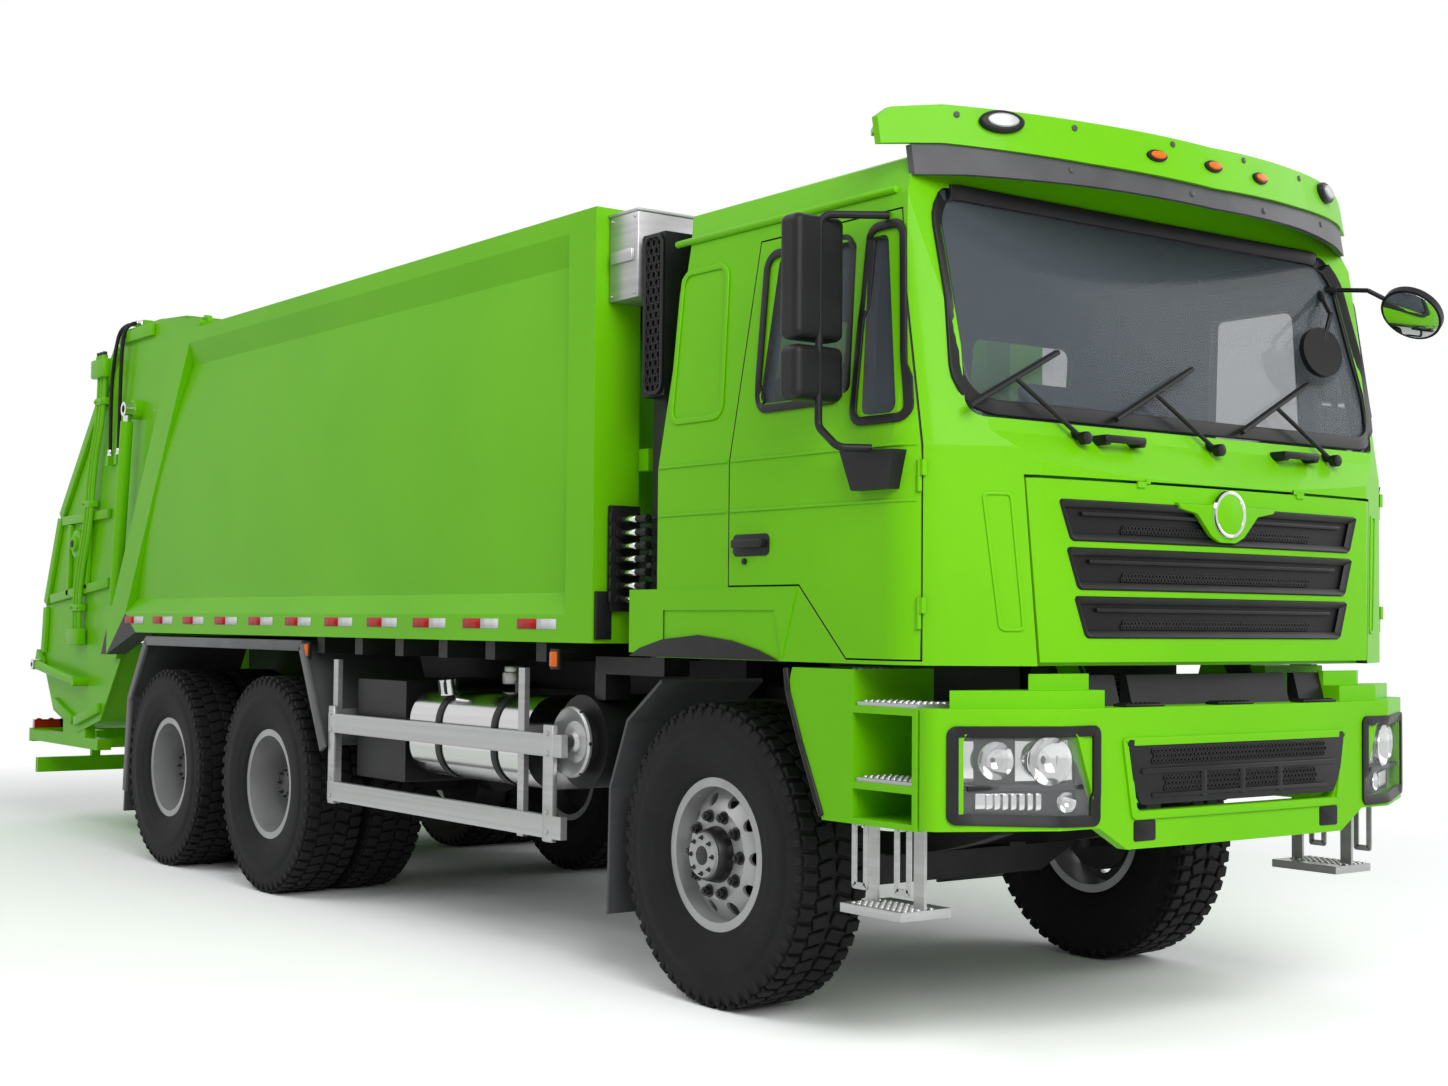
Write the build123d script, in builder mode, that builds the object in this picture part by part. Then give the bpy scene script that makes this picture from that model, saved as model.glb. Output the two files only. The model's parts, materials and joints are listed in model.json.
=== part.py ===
"""A three-axle rear-loading garbage truck: a short day cab on a ladder frame, a curved-sided compaction
body with a slanted rear, and a tailgate that carries the hopper, the packer and the bin lifter.

All sizes are millimetres. +Z is up, the truck faces -Y, and the origin is on the ground below the middle
of the overall length. Places along the truck are measured from the front axle by the function at().
"""

from math import atan2, cos, degrees, hypot, pi, radians, sin, tan
import os

from build123d import *

# ---------------------------------------------------------------------------------------------------
# Driving dimensions
# ---------------------------------------------------------------------------------------------------

# Vehicle layout
overall_length = 9600
front_overhang = 1520
wheelbase = 3775
tandem_spacing = 1400
front_track = 1980
rear_track = 1830
twin_spacing = 350

# Wheels, 12.00R20 tyres on 8.5-20 rims
tyre_radius = 560
tyre_width = 315
rim_seat_radius = 260
rim_flange_radius = 297
rim_half_width = 120
rim_wall = 10
single_disc_offset = 112
disc_wall = 12
disc_flat_radius = 165
hand_hole_radius = 25
hand_hole_circle = 205
hub_radius = 100
hub_length = 70
spindle_radius = 48

# Frame
rail_height = 300
rail_flange = 80
rail_wall = 10
frame_half_width = 425
frame_top = 1100
frame_front = -1180
frame_rear = 6000

# Cab
cab_bottom = 1284
cab_rear = 200
cab_half_width = 1245
cab_wall = 36
cowl_start = 1900
cowl_end = 2040
windscreen_foot = -1330
screen_lean = 0.276
corner_lean = 0.16
waist = 1990
gutter_height = 2830
gutter_half_width = 1172
roof_front = 3040
roof_rear = 2940
floor_height = 1400
floor_wall = 24
tunnel_half_width = 410
tunnel_height = 1600
door_rear = -250
door_front = -1215
door_bottom = 1302
door_top = 2775
fender_top = 1548
fender_rear = 376
panel_gap = 6
door_wall = 55
door_hinge_x = 1209
door_hinge_heights = (1400, 1840)
barrel_length = 50
barrel_radius = 8
hinge_pin = 4
glass_wall = 6
glass_inset = 18
flap_top = 1890
flap_bottom = 1296
flap_half_top = 905
flap_half_bottom = 861
flap_wall = 30
flap_pocket = 42
bulkhead_wall = 24
windscreen_bottom = 2085
windscreen_top = 2868
screen_half_bottom = 1075
screen_half_top = 1045
insert_depth = 16
visor_half_width = 1215
visor_front = -1405
visor_lid = 3070
visor_wall = 24
visor_lean = 0.18
mirror_x = 1370
wheel_x = 600
seat_width = 480

# Bumper
bumper_bottom = 690
bumper_top = 1150
bumper_wall = 45
riser_inner = 620
arm_x = 445
arm_notch = 60

# Refuse body
body_front = 640
body_half_width = 1250
body_bottom = 1330
body_top = 3060
body_wall = 30
panel_half_width = 1200
panel_bulge = 38
post_width = 215
post_depth = 200
rear_slant_top = 5100
rear_slant_bottom = 6180
rear_slant_low_z = 1300
rail_low = 2980
chamfer_low = 2860
flare_top = 1532
flare_low = 1444

# Tailgate
tailgate_gap = 20
tailgate_half_width = 1110
side_plate = 12
hopper_centre = (7080, 1400)
hopper_radius = 700
hopper_wall = 12
sill_height = 1120
packer_stroke = 650
cylinder_x = 1190
lift_radius = 38
lifter_x = 1180
lifter_radius = 30
eye_half_width = 28
base_pin_radius = 14
pin_fit = 0.05
pivot_pin_radius = 20
hinge_pin_radius = 22
lift_ear_wall = 20
lever_length = 130
lever_rest_angle = -155
blade_half_width = 1000
blade_length = 680
blade_rest_angle = -120
rail_spread = 190
shoe_gap = 0.5

# Joint places, as Y from the front axle and Z
cab_pivot = (-1300, 980)
flap_hinge = (-1446, 1894.5)
tailgate_pivot_height = 3130
lift_base = (6190, 1420)
lift_eye = (6030, 2700)
lifter_pivot = (7850, 1150)
lifter_base = (6900, 1000)

# Hoses
hose_radius = 12

# Clearances
running_gap = 0.3
seat_gap = 0.3

front_axle_y = front_overhang - overall_length / 2
axle_height = tyre_radius
middle_axle = wheelbase
rear_axle = wheelbase + tandem_spacing


def at(from_front_axle):
    """The frame's Y of a place given from the front axle, rearwards."""
    return front_axle_y + from_front_axle


tailgate_pivot = (
    rear_slant_top
    + (body_top - tailgate_pivot_height)
    * (rear_slant_bottom - rear_slant_top)
    / (body_top - rear_slant_low_z)
    + tailgate_gap,
    tailgate_pivot_height,
)


def side_points(points):
    """Y-Z outline points whose Y is given from the front axle."""
    return [(at(y), z) for y, z in points]


# ---------------------------------------------------------------------------------------------------
# Shapes that several sub-parts share
# ---------------------------------------------------------------------------------------------------


def side_prism(points, x_low, x_high, rounding=0.0):
    """A side-view outline, extruded across the truck from x_low to x_high."""
    with BuildPart() as made:
        with BuildSketch(Plane.YZ.offset(x_low)) as outline:
            with BuildLine():
                Polyline(*side_points(points), close=True)
            make_face()
            if rounding:
                fillet(outline.vertices(), rounding)
        extrude(amount=x_high - x_low)
    return made.part


def bar(x, y, z, size_x, size_y, size_z):
    """A box by its centre, with y from the front axle."""
    with BuildPart() as made:
        with Locations((x, at(y), z)):
            Box(size_x, size_y, size_z)
    return made.part


def rod(start, end, radius):
    """A round bar between two points, each (x, y from the front axle, z)."""
    a = Vector(start[0], at(start[1]), start[2])
    b = Vector(end[0], at(end[1]), end[2])
    with BuildPart() as made:
        with BuildSketch(Plane(origin=a, z_dir=b - a)):
            Circle(radius)
        extrude(amount=(b - a).length)
    return made.part


def bent_sheet(points, wall, x_low, x_high):
    """A sheet of even thickness that follows a side-view polyline, extruded across the truck."""
    with BuildPart() as made:
        with BuildSketch(Plane.YZ.offset(x_low)):
            with BuildLine() as path:
                Polyline(*side_points(points))
            trace(path.line, line_width=wall)
        extrude(amount=x_high - x_low)
    return made.part


def bent_tube(points, bend_radius, radius):
    """A round tube along points (x, y from the front axle, z), with a bend at each inner one."""
    with BuildPart() as made:
        with BuildLine() as path:
            FilletPolyline(*[(x, at(y), z) for x, y, z in points], radius=bend_radius)
        with BuildSketch(Plane(origin=path.line @ 0, z_dir=path.line % 0)):
            Circle(radius)
        sweep()
    return made.part


def hinge_barrel(side, low_z, web_rear, web_front):
    """One barrel of a door hinge, with the web that carries it, by its lower end."""
    middle_z = low_z + barrel_length / 2
    with BuildPart() as made:
        add(rod((side * door_hinge_x, door_front, low_z),
                (side * door_hinge_x, door_front, low_z + barrel_length), barrel_radius))
        add(bar(side * (door_hinge_x - 4), (web_rear + web_front) / 2, middle_z, 18,
                web_front - web_rear, barrel_length))
    return made.part


def hinge_space(side, low_z, height):
    """The room that the other half's barrel needs."""
    return rod((side * door_hinge_x, door_front, low_z), (side * door_hinge_x, door_front, low_z + height),
               barrel_radius + 1.5)


def save(part, label):
    """Labels a finished sub-part and writes it as one STEP file."""
    part.label = label
    export_step(part, f"parts/{label}.step")


os.makedirs("parts", exist_ok=True)

# ---------------------------------------------------------------------------------------------------
# Wheels
# ---------------------------------------------------------------------------------------------------


def wheel_plane(centre_x, axle):
    """The plane across a wheel, with its X along the axle and its Y up."""
    return Plane(origin=(centre_x, at(axle), axle_height), x_dir=(1, 0, 0), z_dir=(0, -1, 0))


def make_tyre(centre_x, axle):
    """One tyre: bead seats, bulging side walls, square shoulders and a slightly crowned tread."""
    half = tyre_width / 2
    bead = rim_half_width - 16
    flank = [
        (bead, rim_seat_radius + seat_gap),
        (bead, rim_flange_radius),
        (half - 9, rim_flange_radius + 38),
        (half, tyre_radius - 160),
        (half - 4, tyre_radius - 105),
        (half - 14, tyre_radius - 62),
        (half - 26, tyre_radius - 8),
        (half - 98, tyre_radius),
    ]
    with BuildPart() as tyre:
        with BuildSketch(wheel_plane(centre_x, axle)):
            with BuildLine():
                Polyline(
                    *(
                        (edge * across, radius)
                        for edge, points in ((1, flank), (-1, reversed(flank)))
                        for across, radius in points
                    ),
                    close=True,
                )
            make_face()
        revolve(axis=Axis((centre_x, at(axle), axle_height), (1, 0, 0)))
    return tyre.part


def make_rim(centre_x, axle, side, disc_offset, with_hub):
    """One steel rim: a flanged barrel and a dished disc with hand holes and, where asked, the hub.

    side is +1 where outwards is +X. disc_offset puts the disc's outermost face from the rim's centre.
    """
    barrel_inner = rim_seat_radius - rim_wall
    dish = 1 if disc_offset > 0 else -1
    face = disc_offset if disc_offset > 0 else disc_offset + disc_wall
    back = face - disc_wall
    root = disc_offset - dish * 62
    axis = Axis((centre_x, at(axle), axle_height), (1, 0, 0))
    bore = hub_radius - 20 if not with_hub else spindle_radius + running_gap
    with BuildPart() as rim:
        with BuildSketch(wheel_plane(centre_x, axle)):
            with BuildLine():
                Polyline(
                    (-rim_half_width, barrel_inner),
                    (rim_half_width, barrel_inner),
                    (rim_half_width, rim_flange_radius),
                    (rim_half_width - 12, rim_flange_radius),
                    (rim_half_width - 12, rim_seat_radius),
                    (-rim_half_width + 12, rim_seat_radius),
                    (-rim_half_width + 12, rim_flange_radius),
                    (-rim_half_width, rim_flange_radius),
                    close=True,
                )
            make_face()
            with BuildLine():
                Polyline(
                    (side * (root - disc_wall), barrel_inner + 1),
                    (side * root, barrel_inner + 1),
                    (side * face, disc_flat_radius),
                    (side * face, bore),
                    (side * back, bore),
                    (side * back, disc_flat_radius - 4),
                    close=True,
                )
            make_face()
            if with_hub:
                with BuildLine():
                    Polyline(
                        (side * (face - 2), hub_radius),
                        (side * (face + hub_length), hub_radius - 20),
                        (side * (face + hub_length), 0),
                        (side * (face + hub_length - 15), 0),
                        (side * (face + hub_length - 15), bore),
                        (side * (face - 2), bore),
                        close=True,
                    )
                make_face()
        revolve(axis=axis)
        hole_plane = Plane(origin=(centre_x, at(axle), axle_height), x_dir=(0, 1, 0), z_dir=(1, 0, 0))
        with BuildSketch(hole_plane.offset(side * root - 90)):
            with PolarLocations(hand_hole_circle, 10):
                Circle(hand_hole_radius)
        extrude(amount=180, mode=Mode.SUBTRACT)
    return rim.part


def save_group(parts, label):
    """Writes several like solids as one sub-part."""
    save(Compound(label=label, children=list(parts)), label)


twin_disc = (twin_spacing - seat_gap) / 2
for side, name in ((1, "left"), (-1, "right")):
    centre = side * front_track / 2
    save(make_tyre(centre, 0), f"tyre_front_{name}")
    save(make_rim(centre, 0, side, single_disc_offset, True), f"rim_front_{name}")
    for axle, place in ((middle_axle, "middle"), (rear_axle, "rear")):
        outer = side * (rear_track + twin_spacing) / 2
        inner = side * (rear_track - twin_spacing) / 2
        save_group([make_tyre(outer, axle), make_tyre(inner, axle)], f"tyres_{place}_{name}")
        twin_rims = [
            make_rim(outer, axle, side, -twin_disc, True),
            make_rim(inner, axle, side, twin_disc, False),
        ]
        save_group(twin_rims, f"rims_{place}_{name}")

# ---------------------------------------------------------------------------------------------------
# Cab
# ---------------------------------------------------------------------------------------------------


def cab_block(inset, low=cab_bottom):
    """The cab's closed outer form, every outline set in by inset, down to the height low."""
    top = 3200
    with BuildPart() as block:
        for height, top_height, lean in ((low, waist, 0.0), (waist, top, corner_lean)):
            with BuildSketch(Plane.XY.offset(height)) as plan:
                with BuildLine():
                    side_a = Line((-cab_half_width, at(900)), (-cab_half_width, at(-1215)))
                    side_b = Line(side_a @ 1, (-861, at(-1410)))
                    bow = ThreePointArc(side_b @ 1, (0, at(-1452)), (861, at(-1410)))
                    side_c = Line(bow @ 1, (cab_half_width, at(-1215)))
                    side_d = Line(side_c @ 1, (cab_half_width, at(900)))
                    Line(side_d @ 1, side_a @ 0)
                make_face()
                corners = plan.vertices().filter_by(lambda v: abs(v.Y - at(-1215)) < 1)
                fillet(corners, 200)
                if inset:
                    offset(amount=-inset, kind=Kind.INTERSECTION, mode=Mode.REPLACE)
            extrude(amount=top_height - height, dir=(0, lean, 1))
        with BuildSketch(Plane.XZ.offset(-at(2000))):
            with BuildLine():
                Polyline(
                    (-cab_half_width, low - 400),
                    (-cab_half_width, waist),
                    (-gutter_half_width, gutter_height),
                    (-gutter_half_width + 60, gutter_height + 130),
                    (-gutter_half_width + 300, roof_front + 10),
                    (0, roof_front + 40),
                    (gutter_half_width - 300, roof_front + 10),
                    (gutter_half_width - 60, gutter_height + 130),
                    (gutter_half_width, gutter_height),
                    (cab_half_width, waist),
                    (cab_half_width, low - 400),
                    close=True,
                )
            make_face()
            if inset:
                offset(amount=-inset, kind=Kind.INTERSECTION, mode=Mode.REPLACE)
        extrude(amount=5000, mode=Mode.INTERSECT)
        with BuildSketch(Plane.YZ.offset(-1500)):
            with BuildLine():
                Polyline(
                    (at(cab_rear), low - 400),
                    (at(-1600), low - 400),
                    (at(-1600), cowl_start),
                    (at(-1452), cowl_start),
                    (at(windscreen_foot), cowl_end),
                    (at(windscreen_foot + screen_lean * (roof_front - cowl_end)), roof_front),
                    (at(-780), roof_front + 20),
                    (at(180), roof_rear + 30),
                    (at(100), gutter_height),
                    (at(cab_rear), waist),
                    close=True,
                )
            make_face()
            if inset:
                offset(amount=-inset, kind=Kind.INTERSECTION, mode=Mode.REPLACE)
        extrude(amount=3000, mode=Mode.INTERSECT)
    return block.part


def front_prism(points, rounding, deep):
    """A front-view outline (x, z), extruded through the cab's front as far back as deep."""
    with BuildPart() as made:
        with BuildSketch(Plane.XZ.offset(-at(deep))) as outline:
            with BuildLine():
                Polyline(*points, close=True)
            make_face()
            if rounding:
                fillet(outline.vertices(), rounding)
        extrude(amount=deep + 1700)
    return made.part


def grown(points, amount, rounding, low_x, high_x):
    """A side-view outline grown by amount all round and extruded from low_x to high_x."""
    with BuildPart() as made:
        with BuildSketch(Plane.YZ.offset(low_x)) as outline:
            with BuildLine():
                Polyline(*side_points(points), close=True)
            make_face()
            if rounding:
                fillet(outline.vertices(), rounding)
            if amount:
                offset(amount=amount, kind=Kind.INTERSECTION, mode=Mode.REPLACE)
        extrude(amount=high_x - low_x)
    return made.part


lean_top = corner_lean * (door_top - waist)
door_outline = [
    (door_rear, fender_top),
    (-650, fender_top),
    (-900, door_bottom),
    (door_front, door_bottom),
    (door_front, waist),
    (door_front + lean_top, door_top),
    (door_rear - 90, door_top),
    (door_rear, waist),
]
main_window = [(-400, 2185), (-890, 2185), (-870, 2705), (-455, 2705)]
quarter_window = [(-960, 2100), (-1130, 2100), (-1030, 2700), (-935, 2700)]
flap_outline = [
    (-flap_half_bottom, flap_bottom),
    (flap_half_bottom, flap_bottom),
    (flap_half_top, flap_top),
    (-flap_half_top, flap_top),
]
windscreen_outline = [
    (-screen_half_bottom, windscreen_bottom),
    (screen_half_bottom, windscreen_bottom),
    (screen_half_top, windscreen_top),
    (-screen_half_top, windscreen_top),
]
rear_windows = [
    [(280, 2200), (900, 2200), (880, 2620), (280, 2620)],
    [(-900, 2200), (-280, 2200), (-280, 2620), (-880, 2620)],
]

outer_block = cab_block(0)
skin_block = cab_block(-running_gap)
wall_block = cab_block(cab_wall, cab_bottom - 100)
flap_opening = front_prism([(x * 1.007, z + (10 if z > 1500 else -40)) for x, z in flap_outline], 0, -900)
flap_frame = front_prism([(x * 1.035, z + (32 if z > 1500 else -40)) for x, z in flap_outline], 0, -900)

with BuildPart() as cab_shell:
    add(outer_block)
    add(wall_block, mode=Mode.SUBTRACT)
    with BuildPart(mode=Mode.PRIVATE) as bulkhead:
        add(flap_frame)
        add(wall_block, mode=Mode.INTERSECT)
        add(cab_block(flap_pocket + bulkhead_wall, cab_bottom - 100), mode=Mode.SUBTRACT)
        add(side_prism([(-1700, 1284), (-900, 1284), (-900, 2100), (-1700, 2100)], -1300, 1300),
            mode=Mode.INTERSECT)
    add(bulkhead.part)
    with BuildPart(mode=Mode.PRIVATE) as pocket:
        add(flap_opening)
        add(cab_block(flap_pocket, cab_bottom - 100), mode=Mode.SUBTRACT)
    add(pocket.part, mode=Mode.SUBTRACT)
    with BuildPart(mode=Mode.PRIVATE) as floor:
        half = cab_half_width - cab_wall / 2
        tunnel = tunnel_half_width
        with BuildSketch(Plane.XZ.offset(-at(cab_rear - 10))):
            with BuildLine():
                Polyline(
                    (-half, floor_height),
                    (-tunnel, floor_height),
                    (-tunnel, tunnel_height),
                    (tunnel, tunnel_height),
                    (tunnel, floor_height),
                    (half, floor_height),
                    (half, floor_height + floor_wall),
                    (tunnel + floor_wall, floor_height + floor_wall),
                    (tunnel + floor_wall, tunnel_height + floor_wall),
                    (-tunnel - floor_wall, tunnel_height + floor_wall),
                    (-tunnel - floor_wall, floor_height + floor_wall),
                    (-half, floor_height + floor_wall),
                    close=True,
                )
            make_face()
        extrude(amount=1700)
        add(cab_block(cab_wall / 2), mode=Mode.INTERSECT)
        add(pocket.part, mode=Mode.SUBTRACT)
    add(floor.part)
    for side in (-1, 1):
        low_x, high_x = (1050, 1400) if side > 0 else (-1400, -1050)
        add(grown(door_outline, panel_gap, 0, low_x, high_x), mode=Mode.SUBTRACT)
    add(front_prism(windscreen_outline, 60, -1000), mode=Mode.SUBTRACT)
    add(side_prism([(0, 1284), (400, 1284), (400, tunnel_height), (0, tunnel_height)],
                   -tunnel_half_width, tunnel_half_width), mode=Mode.SUBTRACT)
    for window in rear_windows:
        with BuildSketch(Plane.XZ.offset(-at(400))) as opening:
            with BuildLine():
                Polyline(*window, close=True)
            make_face()
            fillet(opening.vertices(), 50)
        extrude(amount=400, mode=Mode.SUBTRACT)
    for side in (-1, 1):
        low_x = cab_half_width - 60 if side > 0 else -cab_half_width - 6
        add(side_prism([(-560, 1300), (-640, 1538), (fender_rear, 1538), (fender_rear, 1300),
                        (150, 1300), (150, 1460), (-520, 1460)], low_x, low_x + 66))
    for side in (-1, 1):
        low_x = frame_half_width + 5 if side > 0 else -frame_half_width - 35
        pivot_y, pivot_z = cab_pivot
        with BuildPart(mode=Mode.PRIVATE) as arm:
            add(side_prism([(pivot_y - 42, pivot_z + 15), (pivot_y + 20, pivot_z - 40),
                            (-1020, floor_height + 5), (-1130, floor_height + 5)], low_x, low_x + 30))
            add(rod((low_x, *cab_pivot), (low_x + 30, *cab_pivot), 45))
            add(rod((low_x - 5, *cab_pivot), (low_x + 35, *cab_pivot), pivot_pin_radius + pin_fit),
                mode=Mode.SUBTRACT)
        add(arm.part)
        add(rod((side * 380, *flap_hinge), (side * 400, *flap_hinge), 4))
        hinge_y, hinge_z = flap_hinge
        add(bar(side * 390, hinge_y + 6, hinge_z + 5, 20, 20, 14))
        for low_z in door_hinge_heights:
            add(hinge_barrel(side, low_z + barrel_length + 0.5, -1235, -1219))
            add(hinge_space(side, low_z - 0.5, barrel_length + 0.9), mode=Mode.SUBTRACT)
            add(rod((side * door_hinge_x, door_front, low_z + 5),
                    (side * door_hinge_x, door_front, low_z + barrel_length + 5), hinge_pin))
save(cab_shell.part, "cab_shell")

for side, name in ((1, "left"), (-1, "right")):
    low_x, high_x = (1050, 1400) if side > 0 else (-1400, -1050)
    with BuildPart() as door:
        add(grown(door_outline, 0, 0, low_x, high_x))
        add(outer_block, mode=Mode.INTERSECT)
        add(cab_block(door_wall), mode=Mode.SUBTRACT)
        for window in (main_window, quarter_window):
            add(grown(window, running_gap, 30, low_x, high_x), mode=Mode.SUBTRACT)
        for low_z in door_hinge_heights:
            add(hinge_space(side, low_z + barrel_length + 0.1, barrel_length + 0.9), mode=Mode.SUBTRACT)
            add(hinge_barrel(side, low_z, -1211, -1195))
            add(rod((side * door_hinge_x, door_front, low_z - 5),
                    (side * door_hinge_x, door_front, low_z + barrel_length + 5), hinge_pin + pin_fit),
                mode=Mode.SUBTRACT)
    save(door.part, f"door_{name}")
    panes = []
    for window in (main_window, quarter_window):
        with BuildPart() as pane:
            add(grown(window, 0, 30, low_x, high_x))
            add(cab_block(glass_inset), mode=Mode.INTERSECT)
            add(cab_block(glass_inset + glass_wall), mode=Mode.SUBTRACT)
        panes.append(pane.part)
    save_group(panes, f"door_glass_{name}")

# Slots of the flap: half width and height of the upper edge, then of the lower edge
flap_slots = [(785, 1821, 730, 1696), (752, 1665, 698, 1537), (718, 1506, 665, 1379)]

with BuildPart() as grille_flap:
    add(front_prism(flap_outline, 0, -900))
    add(outer_block, mode=Mode.INTERSECT)
    add(cab_block(flap_wall, cab_bottom - 100), mode=Mode.SUBTRACT)
    for half_top, z_top, half_low, z_low in flap_slots:
        slot = [(-half_low, z_low), (half_low, z_low), (half_top, z_top), (-half_top, z_top)]
        add(front_prism(slot, 20, -900), mode=Mode.SUBTRACT)
    hinge_y, hinge_z = flap_hinge
    for side in (-1, 1):
        add(rod((side * 400.3, *flap_hinge), (side * 440, *flap_hinge), 4))
        add(bar(side * 420.15, hinge_y, hinge_z - 3.25, 39.7, 6, 6.5))
        add(bar(side * 420.15, hinge_y + 7, hinge_z - 11, 39.7, 20, 11))
save(grille_flap.part, "grille_flap")

inserts = []
for half_top, z_top, half_low, z_low in flap_slots:
    with BuildPart() as insert:
        slot = [(-half_low, z_low), (half_low, z_low), (half_top, z_top), (-half_top, z_top)]
        add(front_prism(slot, 20, -900))
        add(cab_block(insert_depth, cab_bottom - 100), mode=Mode.INTERSECT)
        add(cab_block(flap_wall, cab_bottom - 100), mode=Mode.SUBTRACT)
    inserts.append(insert.part)
save_group(inserts, "grille_inserts")

with BuildPart() as windscreen:
    add(front_prism([(x * 0.9996, z + (0.3 if z < 2500 else -0.3)) for x, z in windscreen_outline],
                    60, -1000))
    add(cab_block(glass_inset), mode=Mode.INTERSECT)
    add(cab_block(glass_inset + glass_wall), mode=Mode.SUBTRACT)
rear_panes = []
for window in rear_windows:
    with BuildPart() as pane:
        with BuildSketch(Plane.XZ.offset(-at(400))) as opening:
            with BuildLine():
                Polyline(*window, close=True)
            make_face()
            fillet(opening.vertices(), 50)
            offset(amount=-running_gap, mode=Mode.REPLACE)
        extrude(amount=400)
        add(cab_block(glass_inset), mode=Mode.INTERSECT)
        add(cab_block(glass_inset + glass_wall), mode=Mode.SUBTRACT)
    rear_panes.append(pane.part)
save_group([windscreen.part] + rear_panes, "cab_glass")

# The visor: a bowed band over the windscreen, a lid back to the roof and a dark lip below the band
visor_edge = [(0, 2950), (550, 2969), (1050, 3000), (1235, 2992)]
visor_crown = [(1235, 3085), (1195, 3118), (1040, 3134), (550, 3115), (0, 3100)]
lip_top = [(1142, 2993), (1050, 2999.7), (550, 2968.7), (0, 2949.7)]
lip_edge = [(0, 2880), (550, 2893), (980, 2897), (1142, 2890)]


def both_sides(points):
    """A closed front-view outline from its left half, listed from the middle below to the middle above."""
    return points + [(-x, z) for x, z in reversed(points) if x > 0]


def bowed_wall(half_width, end_y, middle_y, outline):
    """A thin wall bowed across the cab's front, leaning back, and trimmed to a front-view outline."""
    low_z = 2870
    with BuildPart() as wall:
        with BuildSketch(Plane.XY.offset(low_z)):
            with BuildLine() as bow:
                ThreePointArc((-half_width, at(end_y)), (0, at(middle_y)), (half_width, at(end_y)))
            trace(bow.line, line_width=visor_wall)
        extrude(amount=320, dir=(0, visor_lean, 1))
        add(front_prism(outline, 0, -860), mode=Mode.INTERSECT)
    return wall.part


with BuildPart() as sun_visor:
    add(bowed_wall(visor_half_width + 40, -1043, visor_front - 10, both_sides(visor_edge + visor_crown)))
    with BuildSketch(Plane.XY.offset(visor_lid)):
        with BuildLine():
            lid_arc = ThreePointArc(
                (-visor_half_width, at(-1010)), (0, at(visor_front + 35)), (visor_half_width, at(-1010))
            )
            Polyline(lid_arc @ 1, (visor_half_width - 100, at(-860)), (100 - visor_half_width, at(-860)),
                     lid_arc @ 0)
        make_face()
    extrude(amount=20)
    add(skin_block, mode=Mode.SUBTRACT)
save(sun_visor.part, "sun_visor")

with BuildPart() as visor_lip:
    add(bowed_wall(visor_half_width, -1060, visor_front + 6, both_sides(lip_edge + lip_top)))
    add(skin_block, mode=Mode.SUBTRACT)
save(visor_lip.part, "visor_lip")

# Dashboard with the steering column and wheel
with BuildPart() as dashboard:
    add(side_prism([(-1440, 1650), (-1010, 1660), (-960, 1780), (-990, 1950), (-1240, 2020)],
                   -1090, 1090))
    add(cab_block(flap_pocket + bulkhead_wall + seat_gap), mode=Mode.INTERSECT)
    add(rod((wheel_x, -1000, 1800), (wheel_x, -860, 1905), 30))
    column = Plane(origin=(wheel_x, at(-850), 1913), x_dir=(1, 0, 0), z_dir=(0, 0.64, 0.77))
    with BuildSketch(column):
        Circle(230)
        Circle(206, mode=Mode.SUBTRACT)
        Rectangle(420, 30)
        Circle(60)
    extrude(amount=24, both=True)
save(dashboard.part, "dashboard")

seats = []
for seat_x in (-620, 620):
    with BuildPart() as seat:
        with BuildSketch(Plane.YZ.offset(seat_x - seat_width / 2)) as outline:
            with BuildLine():
                Polyline(*side_points([
                    (-640, 1700), (-640, 1830), (-180, 1800), (-60, 2420), (40, 2420), (-70, 1700),
                ]), close=True)
            make_face()
            fillet(outline.vertices(), 30)
        extrude(amount=seat_width)
        floor_top = floor_height + floor_wall
        add(bar(seat_x, -330, (floor_top + 1700) / 2, 300, 400, 1700 - floor_top))
    seats.append(seat.part)
save_group(seats, "seats")



def screen_point(x, z, ahead):
    """A point in front of the windscreen's plane, by the distance ahead along the truck."""
    return (x, windscreen_foot + screen_lean * (z - cowl_end) - ahead, z)


wipers = []
for foot_x in (-620, 60, 720):
    with BuildPart() as wiper:
        add(rod((foot_x, -1320, 2056), (foot_x, -1368, 2036), 14))
        add(rod((foot_x, -1360, 2040), screen_point(foot_x - 250, 2222, 26), 8))
        add(rod(screen_point(foot_x - 480, 2114, 24), screen_point(foot_x - 20, 2330, 24), 9))
        add(skin_block, mode=Mode.SUBTRACT)
    wipers.append(wiper.part)
save_group(wipers, "wipers")

# Two round kerb mirrors hang from the left front corner of the roof
kerb_heads = [  # centre, half of the head's thickness vector, head radius, elbow of its arm
    ((1172, -1400, 2631), (-9, 0, -9), 120, (1075, -1270, 2725)),
    ((740, -1300, 2450), (2, 12, -2), 95, (800, -1300, 2600)),
]
kerb_root = (1010, -1085, 2745)
front_mirrors = []
for centre, tilt, head_radius, elbow in kerb_heads:
    with BuildPart() as mirror:
        add(rod(kerb_root, elbow, 9))
        add(rod(elbow, centre, 9))
        add(rod([c - t for c, t in zip(centre, tilt)], [c + t for c, t in zip(centre, tilt)],
                head_radius))
    front_mirrors.append(mirror.part)
with BuildPart() as kerb_mirrors:
    for mirror in front_mirrors:
        add(mirror)
    add(skin_block, mode=Mode.SUBTRACT)
save(kerb_mirrors.part, "front_mirrors")

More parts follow.
